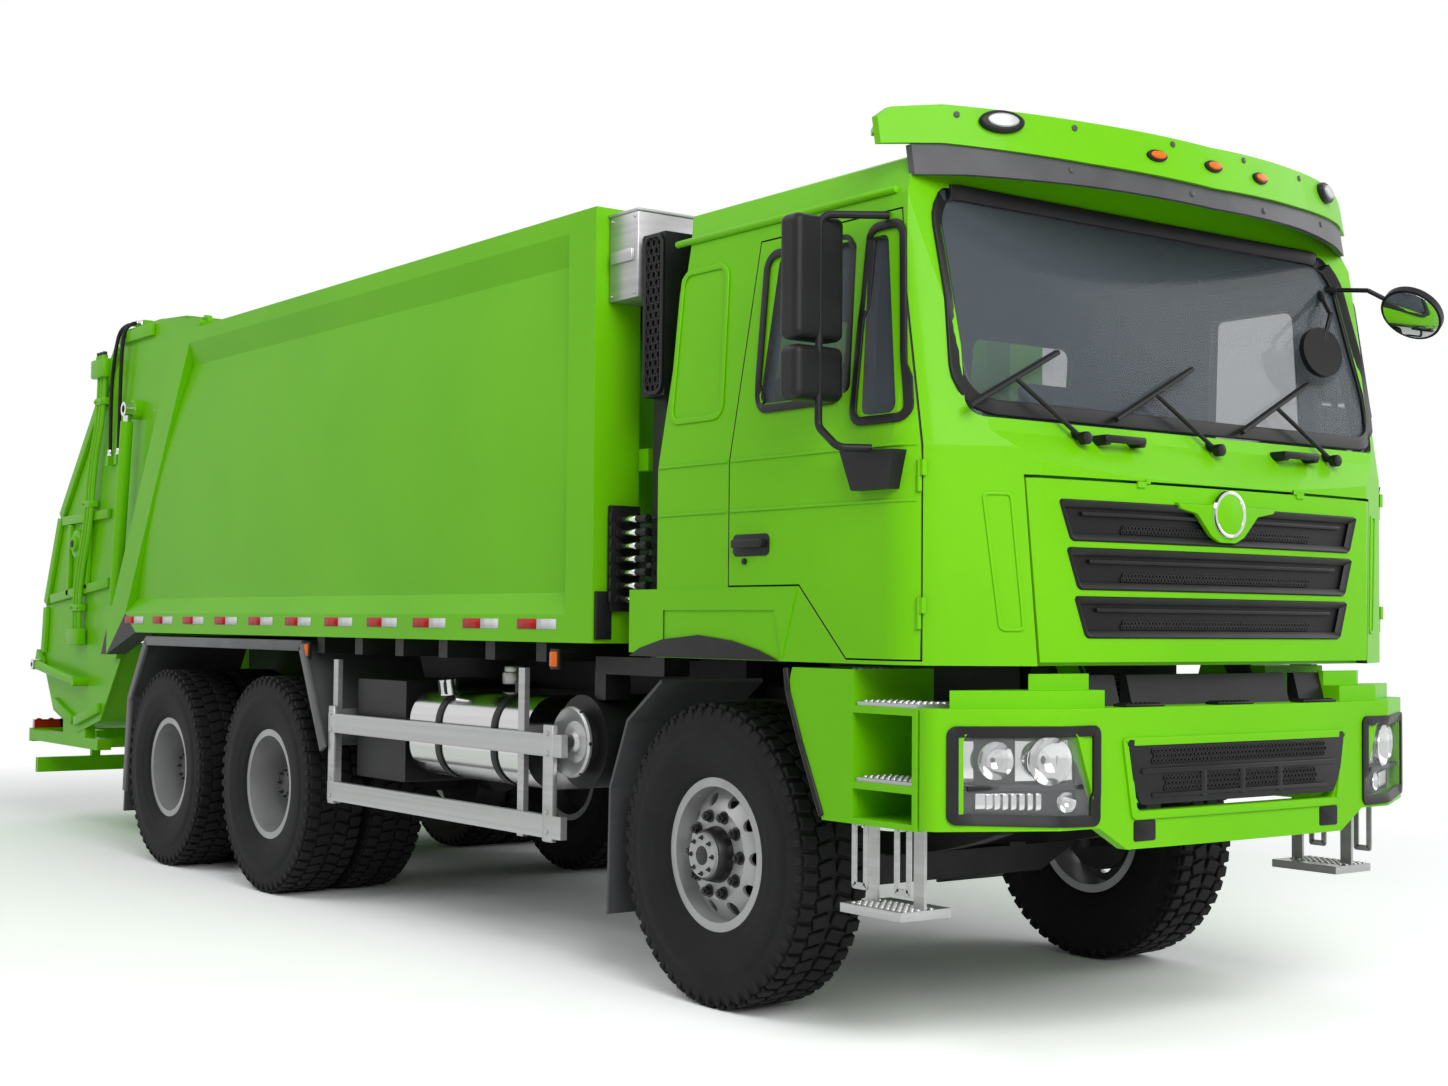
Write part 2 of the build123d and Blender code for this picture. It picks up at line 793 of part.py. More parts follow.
for side, name in ((1, "left"), (-1, "right")):
    with BuildPart() as door_mirror:
        add(bent_tube([
            (side * 1270, -1050, 1985), (side * mirror_x, -1000, 1985), (side * mirror_x, -900, 2060),
            (side * mirror_x, -900, 2762), (side * 1180, -1030, 2762),
        ], 40, 13))
        add(side_prism([(-1150, 1850), (-1175, 1975), (-905, 1985), (-965, 1850)],
                       1200 if side > 0 else -1285, 1285 if side > 0 else -1200))
        for middle_z, height in ((2553, 415), (2237, 182)):
            with BuildPart(mode=Mode.PRIVATE) as housing:
                with Locations((side * mirror_x, at(-862), middle_z)):
                    Box(210, 100, height)
                fillet(housing.edges(), 28)
            add(housing.part)
        add(skin_block, mode=Mode.SUBTRACT)
    save(door_mirror.part, f"door_mirror_{name}")

# ---------------------------------------------------------------------------------------------------
# Frame, engine and axles
# ---------------------------------------------------------------------------------------------------

frame_low = frame_top - rail_height
rail_mid = frame_half_width - rail_flange / 2

with BuildPart() as chassis_frame:
    for side in (-1, 1):
        with BuildSketch(Plane.XZ.offset(-at(frame_rear))):
            with BuildLine():
                Polyline(
                    (side * frame_half_width, frame_low),
                    (side * frame_half_width, frame_top),
                    (side * (frame_half_width - rail_flange), frame_top),
                    (side * (frame_half_width - rail_flange), frame_top - rail_wall),
                    (side * (frame_half_width - rail_wall), frame_top - rail_wall),
                    (side * (frame_half_width - rail_wall), frame_low + rail_wall),
                    (side * (frame_half_width - rail_flange), frame_low + rail_wall),
                    (side * (frame_half_width - rail_flange), frame_low),
                    close=True,
                )
            make_face()
        extrude(amount=frame_rear - frame_front)
    for y in (-1100, 1900, 3000, 4475, 5900):
        add(bar(0, y, frame_low + 200, 2 * (frame_half_width - 5), 90, 140))
    for side in (-1, 1):
        low_x = frame_half_width - 90 if side > 0 else -frame_half_width
        add(side_prism([(-1469.8, 900), (-1469.8, 1000), (-1340, 1040), (-1240, 1040), (-1040, 960),
                        (-1040, 900)], low_x, low_x + 90))
        add(rod((side * (frame_half_width - 5), *cab_pivot), (side * (frame_half_width + 40), *cab_pivot),
                pivot_pin_radius))
save(chassis_frame.part, "chassis_frame")

with BuildPart() as engine:
    add(side_prism([(-780, 960), (-780, 1500), (-560, 1560), (260, 1560), (300, 1200), (800, 1120),
                    (1060, 1080), (1060, 820), (300, 700), (-500, 700)], -320, 320, 20))
    add(bar(0, -900, 1200, 680, 90, 620))
    for side in (-1, 1):
        for y in (-300, 150):
            add(bar(side * 332.2, y, 1090, 25, 120, 60))
    add(rod((0, -860, 1180), (0, -760, 1180), 60))
save(engine.part, "engine")

# ---------------------------------------------------------------------------------------------------
# Bumper, lamps and steps
# ---------------------------------------------------------------------------------------------------


def bumper_block(inset, rise=0):
    """The bumper's closed outer form, its plan outline set in by inset and its top raised by rise."""
    with BuildPart() as block:
        with BuildSketch(Plane.XY.offset(bumper_bottom - inset)) as plan:
            with BuildLine():
                edge_a = Line((-1235, at(-1250)), (-1235, at(-1300)))
                edge_b = Line(edge_a @ 1, (-860, at(-1500)))
                bow = ThreePointArc(edge_b @ 1, (0, at(-front_overhang)), (860, at(-1500)))
                edge_c = Line(bow @ 1, (1235, at(-1300)))
                edge_d = Line(edge_c @ 1, (1235, at(-1250)))
                Line(edge_d @ 1, edge_a @ 0)
            make_face()
            fillet(plan.vertices().filter_by(lambda v: abs(v.Y - at(-1300)) < 1), 60)
            if inset:
                offset(amount=-inset, kind=Kind.INTERSECTION, mode=Mode.REPLACE)
        extrude(amount=bumper_top - bumper_bottom + 2 * inset + rise)
    return block.part


bumper_outer = bumper_block(0)
lamp_openings = [
    [(690, 780), (1140, 795), (1140, 1074), (790, 1072)],
    [(-1140, 795), (-690, 780), (-790, 1072), (-1140, 1074)],
]
bumper_grille = [(-517, 813), (517, 813), (559, 1022), (-559, 1022)]

with BuildPart() as bumper:
    add(bumper_outer)
    add(bumper_block(bumper_wall), mode=Mode.SUBTRACT)
    add(side_prism([(-1300, 500), (-1100, 500), (-1100, 1300), (-1300, 1300)], -1190, 1190),
        mode=Mode.SUBTRACT)
    for outline in lamp_openings + [bumper_grille]:
        add(front_prism(outline, 25, -1280), mode=Mode.SUBTRACT)
    for row in range(4):
        z = 840 + 50 * row
        add(front_prism([(-600, z), (600, z), (600, z + 14), (-600, z + 14)], 0, -1400))
    add(bumper_outer, mode=Mode.INTERSECT)
    add(bumper_block(bumper_wall), mode=Mode.SUBTRACT)
    with Locations(Plane.XZ.offset(-at(-1350))):
        with Locations((-480, 745), (480, 745)):
            Cylinder(24, 400, mode=Mode.SUBTRACT)
    for side in (-1, 1):
        corner = [(560, 600), (560, 688), (690, 765), (1300, 765), (1300, 600)]
        add(front_prism([(side * x, z) for x, z in corner], 0, -900), mode=Mode.SUBTRACT)
    with BuildPart(mode=Mode.PRIVATE) as ledge:
        add(bar(0, -1430, bumper_top - 7.5, 2 * 1190, 210, 15))
        add(bumper_outer, mode=Mode.INTERSECT)
        for side in (-1, 1):
            add(bar(side * arm_x, -1370, bumper_top, arm_notch, 120, 60), mode=Mode.SUBTRACT)
    add(ledge.part)
    for inset, height in ((45, 56), (115, 108)):
        with BuildPart(mode=Mode.PRIVATE) as riser:
            for side in (-1, 1):
                add(bar(side * (riser_inner + 1240) / 2, -1400, bumper_top + height / 2 - 5,
                        1240 - riser_inner, 300, height + 10))
            add(bumper_block(inset, 100), mode=Mode.INTERSECT)
        add(riser.part)
save(bumper.part, "bumper")

# Dark grille bar between the cab and the bumper, notched where the cab's arms swing forward
bars = []
arm_gap = arm_notch / 2
for low_x, high_x in ((-riser_inner + seat_gap, -arm_x - arm_gap), (-arm_x + arm_gap, arm_x - arm_gap),
                      (arm_x + arm_gap, riser_inner - seat_gap)):
    with BuildPart() as grille_bar:
        add(side_prism([(-1400, bumper_top + seat_gap), (-1372, 1252), (-1345, 1252),
                        (-1345, bumper_top + seat_gap)], low_x, high_x))
    bars.append(grille_bar.part)
save_group(bars, "bumper_bar")

lamps = []
for outline in lamp_openings:
    with BuildPart() as lamp:
        add(front_prism(outline, 25, -1301))
        add(bumper_block(12), mode=Mode.INTERSECT)
        add(bumper_block(bumper_wall), mode=Mode.SUBTRACT)
    lamps.append(lamp.part)
save_group(lamps, "headlamps")

wells = []
for side in (-1, 1):
    low_x, high_x = (880, 1240) if side > 0 else (-1240, -880)
    pocket_low, pocket_high = (920, 1300) if side > 0 else (-1300, -920)
    with BuildPart() as well:
        add(side_prism([(-1240, 760), (-1240, 1148), (-930, 1148), (-930, 1265), (-610, 1265),
                        (-578, 1169), (-775, 760)], low_x, high_x))
        add(side_prism([(-1220, 900), (-1220, 1124), (-930, 1124), (-930, 900)],
                       pocket_low, pocket_high), mode=Mode.SUBTRACT)
        add(side_prism([(-1220, 780), (-1220, 876), (-930, 876), (-930, 780)],
                       pocket_low, pocket_high), mode=Mode.SUBTRACT)
        add(bar(side * (frame_half_width + 890) / 2, -1000, 900, 890 - frame_half_width - 0.6, 70, 60))
    wells.append(well.part)
save_group(wells, "step_wells")

treads = []
for side in (-1, 1):
    treads.append(bar(side * 1080, -1085, 1148.3 + 6, 300, 290, 12))
    treads.append(bar(side * 1080, -1075, 900.3 + 6, 300, 280, 12))
    with BuildPart() as hanger:
        add(bar(side * 1120, -1010, 480, 220, 300, 30))
        for y in (-1130, -900):
            add(bar(side * 1120, y, 612, 12, 50, 295))
    treads.append(hanger.part)
save_group(treads, "steps")

# ---------------------------------------------------------------------------------------------------
# Axles, springs and knuckles
# ---------------------------------------------------------------------------------------------------

kingpin_x = 840
hub_end = front_track / 2 + single_disc_offset + hub_length - 20
with BuildPart() as front_axle:
    with BuildSketch(Plane.XZ.offset(-at(50))):
        with BuildLine():
            Polyline(
                (-kingpin_x, 605), (-kingpin_x, 515), (-770, 515), (-540, 400), (540, 400), (770, 515),
                (kingpin_x, 515), (kingpin_x, 605), (760, 605), (560, 510), (-560, 510), (-760, 605),
                close=True,
            )
        make_face()
    extrude(amount=100)
    for side in (-1, 1):
        add(rod((side * kingpin_x, 0, 515), (side * kingpin_x, 0, 605), 50))
        add(rod((side * kingpin_x, 0, 470), (side * kingpin_x, 0, 650), 18))
        add(bar(side * rail_mid, 0, 519.7, 90, 140, 20))
save(front_axle.part, "front_axle")

for side, name in ((1, "left"), (-1, "right")):
    with BuildPart() as knuckle:
        for low, high in ((476, 512), (608, 644)):
            add(rod((side * kingpin_x, 0, low), (side * kingpin_x, 0, high), 48))
            add(bar(side * (kingpin_x + 50), 0, (low + high) / 2, 100, 80, high - low))
        add(bar(side * 918, 0, 560, 44, 110, 168))
        add(rod((side * 935, 0, 560), (side * 1030, 0, 560), 190))
        add(rod((side * 930, 0, 560), (side * hub_end, 0, 560), spindle_radius))
        add(rod((side * kingpin_x, 0, 400), (side * kingpin_x, 0, 700), 18.05), mode=Mode.SUBTRACT)
    save(knuckle.part, f"knuckle_{name}")

twin_hub_end = (rear_track + twin_spacing) / 2 - twin_disc + disc_wall + hub_length - 20
with BuildPart() as rear_axles:
    for axle in (middle_axle, rear_axle):
        add(rod((-700, axle, axle_height), (700, axle, axle_height), 75))
        add(rod((-twin_hub_end, axle, axle_height), (twin_hub_end, axle, axle_height), spindle_radius))
        for side in (-1, 1):
            add(rod((side * 690, axle, axle_height), (side * 855, axle, axle_height), 205))
            add(bar(side * 515, axle, 627.4, 90, 160, 24))
        with BuildSketch(Plane.YZ.offset(-90)):
            with Locations((at(axle), axle_height)):
                Circle(215)
        extrude(amount=180)
        add(rod((0, axle - 330, axle_height + 40), (0, axle, axle_height + 40), 110))
    add(rod((0, middle_axle, axle_height + 40), (0, rear_axle - 320, axle_height + 40), 55))
    add(rod((0, 1067, 900), (0, middle_axle - 325, axle_height + 45), 55))
save(rear_axles.part, "rear_axles")


def leaf_pack(x, ends, middle, low_z, mid_z, thickness, width=84):
    """A curved leaf pack whose centre line runs through both ends and the middle."""
    with BuildPart() as pack:
        with BuildSketch(Plane.YZ.offset(x - width / 2)):
            with BuildLine() as line:
                ThreePointArc((at(ends[0]), low_z), (at(middle), mid_z), (at(ends[1]), low_z))
            trace(line.line, line_width=thickness)
        extrude(amount=width)
    return pack.part


packs = []
for side in (-1, 1):
    with BuildPart() as front_pack:
        add(leaf_pack(side * rail_mid, (-760, 760), 0, 700, 570, 80))
        for y in (-760, 760):
            add(bar(side * rail_mid, y, 735, 78, 70, 129.4))
    packs.append(front_pack.part)
    packs.append(leaf_pack(side * 515, (middle_axle - 20, rear_axle + 20), 4475, 688, 790, 100))
    with BuildPart() as trunnion:
        add(bar(side * 515, 4475, 680, 88, 200, 119.4))
        add(bar(side * 425, 4475, 690, 260, 120, 90))
        add(bar(side * 385, 4475, 745, 78, 240, 109.4))
    packs.append(trunnion.part)
save_group(packs, "leaf_springs")

# ---------------------------------------------------------------------------------------------------
# Mudguards and what hangs on the frame
# ---------------------------------------------------------------------------------------------------

guards = []
for side in (-1, 1):
    low_x, high_x = (600, 1245) if side > 0 else (-1245, -600)
    with BuildPart() as rear_guard:
        add(bent_sheet([(3075, 800), (3340, 1300), (5490, 1300), (5750, 950), (5800, 260)],
                       20, low_x, high_x))
        for y in (3420, 4475, 5420):
            add(bar(side * 540, y, 1280, 229.4, 60, 40))
    guards.append(rear_guard.part)
    low_x, high_x = (640, 1130) if side > 0 else (-1130, -640)
    with BuildPart() as front_guard:
        add(bent_sheet([(330, 1190), (560, 1030), (680, 760), (690, 260)], 14, low_x, high_x))
        add(bar(side * 540, 600, 960, 229.4, 50, 50))
    guards.append(front_guard.part)
save_group(guards, "mudguards")

with BuildPart() as fuel_tank:
    with BuildSketch(Plane.XZ.offset(-at(2340))) as section:
        with Locations((-860, 900)):
            Rectangle(580, 400)
        fillet(section.vertices().group_by(Axis.X)[0], 150)
        fillet(section.vertices().group_by(Axis.X)[-1], 40)
    extrude(amount=1050)
    add(rod((-1090, 2070, 1080), (-1100, 2070, 1150), 45))
    for y in (1500, 2130):
        add(bar(-499, y, 760, 147.4, 50, 130))
save(fuel_tank.part, "fuel_tank")

with BuildPart() as battery_box:
    add(bar(-820, 2650, 895, 640, 500, 470))
    add(bar(-463, 2650, 900, 75, 300, 120))
    fillet(battery_box.edges().filter_by(Axis.X), 12)
save(battery_box.part, "battery_box")

with BuildPart() as hydraulic_tank:
    add(bar(820, 2450, 900, 640, 900, 460))
    add(bar(463, 2450, 900, 75, 500, 120))
    add(rod((800, 2200, 1120), (800, 2200, 1160), 60))
save(hydraulic_tank.part, "hydraulic_tank")

with BuildPart() as silencer:
    add(rod((760, 735, 850), (760, 1205, 850), 190))
    add(rod((760, 1200, 850), (760, 1700, 850), 50))
    add(bar(500, 860, 850, 149.4, 60, 80))
    add(bar(500, 1090, 850, 149.4, 60, 80))
save(silencer.part, "silencer")

with BuildPart() as air_intake:
    add(rod((-1120, 905, 928), (-620, 905, 928), 190))
    add(rod((-1150, 905, 928), (-1118, 905, 928), 120))
    add(bar(-523, 905, 928, 195, 80, 60))
    add(bar(-1060, 350, 2600, 220, 150, 632))
    add(bar(-1040, 400, 1760, 120, 90, 1100))
    add(bar(-1040, 600, 1240, 120, 480, 70))
    add(bar(-1040, 805, 1160, 120, 80, 120))
save(air_intake.part, "air_intake")

guards = []
for side in (-1, 1):
    with BuildPart() as guard:
        for z in (581, 911):
            add(bar(side * 1212, 1968, z, 30, 2155, 92))
        add(bar(side * 1190, 1250, 870, 24, 50, 700))
        add(bar(side * 1190, 3020, 870, 24, 50, 700))
        for y in (1250, 3020):
            add(bar(side * (frame_half_width + 1200) / 2, y, 960, 1200 - frame_half_width - 0.6, 36, 36))
    guards.append(guard.part)
save_group(guards, "side_guards")

# ---------------------------------------------------------------------------------------------------
# Refuse body
# ---------------------------------------------------------------------------------------------------

slant_run = (rear_slant_bottom - rear_slant_top) / (body_top - rear_slant_low_z)
slant = atan2(rear_slant_bottom - rear_slant_top, body_top - rear_slant_low_z)


def slant_y(z, gap=0.0):
    """Y from the front axle of the body's slanted rear plane at height z, moved back by a gap."""
    return rear_slant_top + (body_top - z) * slant_run + gap / cos(slant)


def body_section(inset, y_from, y_to):
    """The body's cross-section, set in all round by inset, extruded along the truck."""
    with BuildPart() as made:
        with BuildSketch(Plane.XZ.offset(-at(y_to))):
            with BuildLine():
                middle = (flare_top + chamfer_low) / 2
                bulge = panel_half_width + panel_bulge
                low_right, low_left = (panel_half_width, flare_top), (-panel_half_width, flare_top)
                top_right, top_left = (panel_half_width, chamfer_low), (-panel_half_width, chamfer_low)
                Polyline(
                    low_left, (-body_half_width, flare_low), (-body_half_width, body_bottom),
                    (body_half_width, body_bottom), (body_half_width, flare_low), low_right,
                )
                ThreePointArc(low_right, (bulge, middle), top_right)
                Polyline(
                    top_right, (body_half_width, rail_low), (body_half_width, body_top),
                    (-body_half_width, body_top), (-body_half_width, rail_low), top_left,
                )
                ThreePointArc(top_left, (-bulge, middle), low_left)
            make_face()
            if inset:
                offset(amount=-inset, kind=Kind.INTERSECTION, mode=Mode.REPLACE)
        extrude(amount=y_to - y_from)
    return made.part


with BuildPart() as refuse_body:
    add(body_section(0, body_front, 6400))
    add(bar(0, body_front + post_depth / 2, (body_bottom + body_top) / 2, 2 * body_half_width,
            post_depth, body_top - body_bottom))
    add(side_prism([(rear_slant_top - 260, body_top), (rear_slant_top, body_top),
                    (slant_y(body_bottom), body_bottom), (slant_y(body_bottom) - 260, body_bottom)],
                   -body_half_width, body_half_width))
    with BuildPart(mode=Mode.PRIVATE) as cavity:
        add(body_section(body_wall, body_front + post_depth, 6500))
    add(cavity.part, mode=Mode.SUBTRACT)
    add(bar(0, body_front + 70, 2170, 2 * (body_half_width - post_width), 160, 1420),
        mode=Mode.SUBTRACT)
    add(side_prism([(rear_slant_top, body_top), (rear_slant_top, 3400), (7000, 3400), (7000, 1000),
                    (slant_y(1000), 1000)], -1400, 1400), mode=Mode.SUBTRACT)
    for side in (-1, 1):
        low_x, high_x = (1130, 1250) if side > 0 else (-1250, -1130)
        add(side_prism([(5650, body_bottom + 1), (slant_y(body_bottom + 1), body_bottom + 1),
                        (slant_y(1190), 1190), (6150, 1190)], low_x, high_x))
        low_x = rail_mid - 40 if side > 0 else -rail_mid - 40
        add(side_prism([(720, frame_top + seat_gap), (720, body_bottom + 1), (5900, body_bottom + 1),
                        (5900, frame_top + seat_gap)], low_x, low_x + 80))
        ear_x = side * 1070
        add(bar(ear_x, 5020, 3095, 30, 120, 80))
        add(rod((ear_x - 15, tailgate_pivot[0], tailgate_pivot[1]),
                (ear_x + 15, tailgate_pivot[0], tailgate_pivot[1]), 50))
        add(rod((ear_x - side * 15, tailgate_pivot[0], tailgate_pivot[1]),
                (side * 1125, tailgate_pivot[0], tailgate_pivot[1]), hinge_pin_radius))
        add(rod((side * 1245, *lift_base), (side * (cylinder_x - lift_radius), *lift_base), base_pin_radius))
        low_x = body_half_width - lift_ear_wall if side > 0 else -body_half_width
        add(side_prism([(6040, 1360), (6040, 1500), (6150, 1480), (6235, 1440), (6235, 1390),
                        (6180, 1350)], low_x, low_x + lift_ear_wall))
    for y in range(1100, 3300, 420):
        add(bar(0, y, body_bottom - 40, 2400, 80, 82))
save(refuse_body.part, "refuse_body")

with BuildPart() as ejector_plate:
    add(body_section(body_wall + 25, 905, 965))
    for side in (-1, 1):
        add(bar(side * 700, 1100, 1420, 120, 300, 119.4))
        add(side_prism([(960, 1480), (960, 2600), (1000, 2600), (1240, 1480)],
                       side * 700 - 20, side * 700 + 20))
save(ejector_plate.part, "ejector_plate")

# ---------------------------------------------------------------------------------------------------
# Tailgate with hopper, packer and bin lifter
# ---------------------------------------------------------------------------------------------------

hopper_y, hopper_z = hopper_centre
blade_foot = (
    hopper_y - packer_stroke * cos(radians(45)),
    hopper_z + packer_stroke * sin(radians(45)),
)


def gate_y(z):
    """Y from the front axle of the tailgate's slanted front plane at height z."""
    return slant_y(z, tailgate_gap)


def on_circle(centre, radius, angle):
    """The (y, z) point at an angle in degrees from the rearward direction, counted upwards."""
    return (centre[0] + radius * cos(radians(angle)), centre[1] + radius * sin(radians(angle)))


def hopper_sheet(x_low, x_high, inner, wall):
    """The hopper's rolled floor from the 45 degree ramp round to the sill, with the ramp."""
    ramp_low = on_circle(hopper_centre, inner + wall / 2, -135)
    sill_angle = degrees(atan2(sill_height - hopper_z, (inner**2 - (sill_height - hopper_z) ** 2) ** 0.5))
    ramp_length = (hopper_y + hopper_z - 2**0.5 * (inner + wall / 2) - gate_y(0)) / (1 - slant_run)
    ramp_top_z = ramp_length + 12
    ramp_top_y = ramp_low[0] - (ramp_top_z - ramp_low[1])
    with BuildPart() as made:
        with BuildSketch(Plane.YZ.offset(x_low)):
            with BuildLine() as line:
                Line((at(ramp_top_y), ramp_top_z), (at(ramp_low[0]), ramp_low[1]))
                middle = on_circle(hopper_centre, inner + wall / 2, -80)
                sill = on_circle(hopper_centre, inner + wall / 2, sill_angle)
                ThreePointArc((at(ramp_low[0]), ramp_low[1]), (at(middle[0]), middle[1]),
                              (at(sill[0]), sill[1]))
            trace(line.line, line_width=wall)
        extrude(amount=x_high - x_low)
    return made.part


side_outline = [
    (gate_y(3160), 3160), (5700, 3230), (6350, 3230), (7480, 2080), (7760, 1500), (7800, 1130),
    (7560, 790), (7080, 660), (6640, 760), (gate_y(1150), 1150),
]
inside = tailgate_half_width - side_plate

with BuildPart() as tailgate:
    for side in (-1, 1):
        low_x = inside if side > 0 else -tailgate_half_width
        add(side_prism(side_outline, low_x, low_x + side_plate))
        frame_low_x = inside if side > 0 else -1140
        add(side_prism([(gate_y(3060), 3060), (gate_y(3060) + 120, 3060), (gate_y(1160) + 120, 1160),
                        (gate_y(1160), 1160)], frame_low_x, frame_low_x + 42))
    add(hopper_sheet(-inside - 1, inside + 1, hopper_radius, hopper_wall))
    add(bent_sheet([(5330, 3200), (5700, 3224), (6347, 3224), (7474, 2080)], 12, -inside - 1, inside + 1))
    add(bar(0, 7470, 2060, 2 * inside + 2, 60, 120))
    add(side_prism([(7708, 1060), (7708, 1126), (7800, 1126), (7800, 1060)], -inside - 1, inside + 1))
    for side in (-1, 1):
        for offset_n in (rail_spread / 2, -rail_spread / 2):
            start = on_circle(on_circle(blade_foot, 880, 135), offset_n, 45)
            end = on_circle(on_circle(hopper_centre, 130, 135), offset_n, 45)
            low_x = inside - 70 if side > 0 else -inside - 1
            add(bent_sheet([start, end], 30, low_x, low_x + 71))
        boss_x = side * tailgate_half_width
        add(rod((boss_x - side * 5, lift_eye[0], lift_eye[1]),
                (side * (cylinder_x - eye_half_width - seat_gap), lift_eye[0], lift_eye[1]), 60))
        add(rod((boss_x - side * 5, *lifter_base),
                (side * (lifter_x - lifter_radius - seat_gap), *lifter_base), 30))
        add(rod((boss_x, *lifter_base), (side * (lifter_x + lifter_radius), *lifter_base), base_pin_radius))
        add(rod((boss_x - side * 20, *tailgate_pivot), (boss_x + side * 5, *tailgate_pivot),
                hinge_pin_radius + pin_fit), mode=Mode.SUBTRACT)
        add(side_prism([(7790, 1068), (7760, 1124), (7840, 1205), (7880, 1105)],
                       side * 1000 - 20, side * 1000 + 20))
        add(rod((side * 1000 - 20, *lifter_pivot), (side * 1000 + 20, *lifter_pivot), 62))
        add(rod((side * 960, *lifter_pivot), (side * 1040, *lifter_pivot), 36.3), mode=Mode.SUBTRACT)
        add(bar(side * 1060, 7380, 600, 90, 1380, 70))
        add(bar(side * 1072, 7150, 690, 64, 440, 160))
    for port_y in (6220, 6300):
        add(bar(-1008, port_y, 3255, 60, 44, 70))
    for port_y in (6332, 6484):
        add(bar(-1132, port_y, 2410, 50, 44, 60))
    add(bar(0, 8045, 600, 2210, 70, 90))
    add(bar(0, 6900, 600, 2210, 60, 60))
    add(bar(0, 7900, 400, 2210, 50, 100))
    for side in (-1, 1):
        add(bar(side * 700, 7900, 480, 60, 40, 240))
        add(bar(side * 700, 7900, 600, 60, 220, 60))
save(tailgate.part, "tailgate")

with BuildPart() as sweep_blade:
    tip = on_circle(blade_foot, blade_length, blade_rest_angle)
    back = on_circle(on_circle(blade_foot, 330, blade_rest_angle), 105, blade_rest_angle + 90)
    front_a = on_circle(on_circle(blade_foot, 20, blade_rest_angle), 36, blade_rest_angle - 90)
    front_b = on_circle(on_circle(blade_foot, 360, blade_rest_angle), 58, blade_rest_angle - 90)
    back_a = on_circle(on_circle(blade_foot, 20, blade_rest_angle), 40, blade_rest_angle + 90)
    add(side_prism([front_a, front_b, tip, back, back_a], -blade_half_width, blade_half_width))
    add(rod((-blade_half_width, *blade_foot), (blade_half_width, *blade_foot), 60))
    for side in (-1, 1):
        add(rod((side * (blade_half_width - 10), *blade_foot),
                (side * (blade_half_width + 38), *blade_foot), 40))
save(sweep_blade.part, "sweep_blade")

with BuildPart() as carriage:
    for side in (-1, 1):
        low_x = blade_half_width + 6 if side > 0 else -blade_half_width - 42
        cheek = [
            on_circle(on_circle(blade_foot, 70, -45), 50, 45),
            on_circle(on_circle(blade_foot, 70, -45), 50, 225),
            on_circle(on_circle(blade_foot, 700, 135), 70, 225),
            on_circle(on_circle(blade_foot, 700, 135), 70, 45),
        ]
        add(side_prism(cheek, low_x, low_x + 36))
        add(rod((low_x - 5, *blade_foot), (low_x + 41, *blade_foot), 40.05), mode=Mode.SUBTRACT)
        for along in (40, 640):
            shoe = on_circle(blade_foot, along, 135)
            with BuildSketch(Plane.YZ.offset(side * (inside - 40) - 35)):
                with Locations(Location((at(shoe[0]), shoe[1]), -45)):
                    Rectangle(120, rail_spread - 30 - 2 * shoe_gap)
                if along == 40:
                    with Locations((at(blade_foot[0]), blade_foot[1])):
                        Circle(44, mode=Mode.SUBTRACT)
            extrude(amount=70)
    panel_low = on_circle(blade_foot, 110, 135)
    panel_high = on_circle(blade_foot, 690, 135)
    add(bent_sheet([panel_low, panel_high], 60, -blade_half_width - 10, blade_half_width + 10))
save(carriage.part, "carriage")

lift_length = hypot(lift_eye[0] - lift_base[0], lift_eye[1] - lift_base[1])
lift_angle = degrees(atan2(lift_eye[1] - lift_base[1], lift_eye[0] - lift_base[0]))


def cylinder_barrel(x, base, angle, length, radius, bore):
    """A cylinder's barrel with its base eye, open at the rod's end, lying in the Y-Z plane at x."""
    start = on_circle(base, 4, angle)
    end = on_circle(base, length, angle)
    with BuildPart() as made:
        add(rod((x, *start), (x, *end), radius))
        add(rod((x - radius, *base), (x + radius, *base), radius))
        bottom = on_circle(base, radius + 40, angle)
        add(rod((x, *bottom), (x, *on_circle(base, length + 20, angle)), bore), mode=Mode.SUBTRACT)
        add(rod((x - radius, *base), (x + radius, *base), base_pin_radius + pin_fit), mode=Mode.SUBTRACT)
    return made.part


def cylinder_rod(x, base, angle, low, high, radius, piston):
    """A cylinder's rod with its piston and a flat-sided eye."""
    with BuildPart() as made:
        add(rod((x, *on_circle(base, low, angle)), (x, *on_circle(base, high - 20, angle)), radius))
        add(rod((x, *on_circle(base, low, angle)), (x, *on_circle(base, low + 50, angle)), piston))
        eye = on_circle(base, high, angle)
        add(rod((x - eye_half_width, *eye), (x + eye_half_width, *eye), radius + 20))
        add(rod((x - 40, *eye), (x + 40, *eye), radius), mode=Mode.SUBTRACT)
    return made.part


save_group([cylinder_barrel(side * cylinder_x, lift_base, lift_angle, lift_length - 75, lift_radius, 32)
            for side in (-1, 1)], "lift_barrels")
save_group([cylinder_rod(side * cylinder_x, lift_base, lift_angle, 90, lift_length, 24, 31.7)
            for side in (-1, 1)], "lift_rods")

lever_eye = on_circle(lifter_pivot, lever_length, lever_rest_angle)
push_length = hypot(lever_eye[0] - lifter_base[0], lever_eye[1] - lifter_base[1])
push_angle = degrees(atan2(lever_eye[1] - lifter_base[1], lever_eye[0] - lifter_base[0]))
save_group([cylinder_barrel(side * lifter_x, lifter_base, push_angle, push_length - 60, lifter_radius, 23)
            for side in (-1, 1)], "lifter_barrels")
save_group([cylinder_rod(side * lifter_x, lifter_base, push_angle, 75, push_length, 16, 22.7)
            for side in (-1, 1)], "lifter_rods")

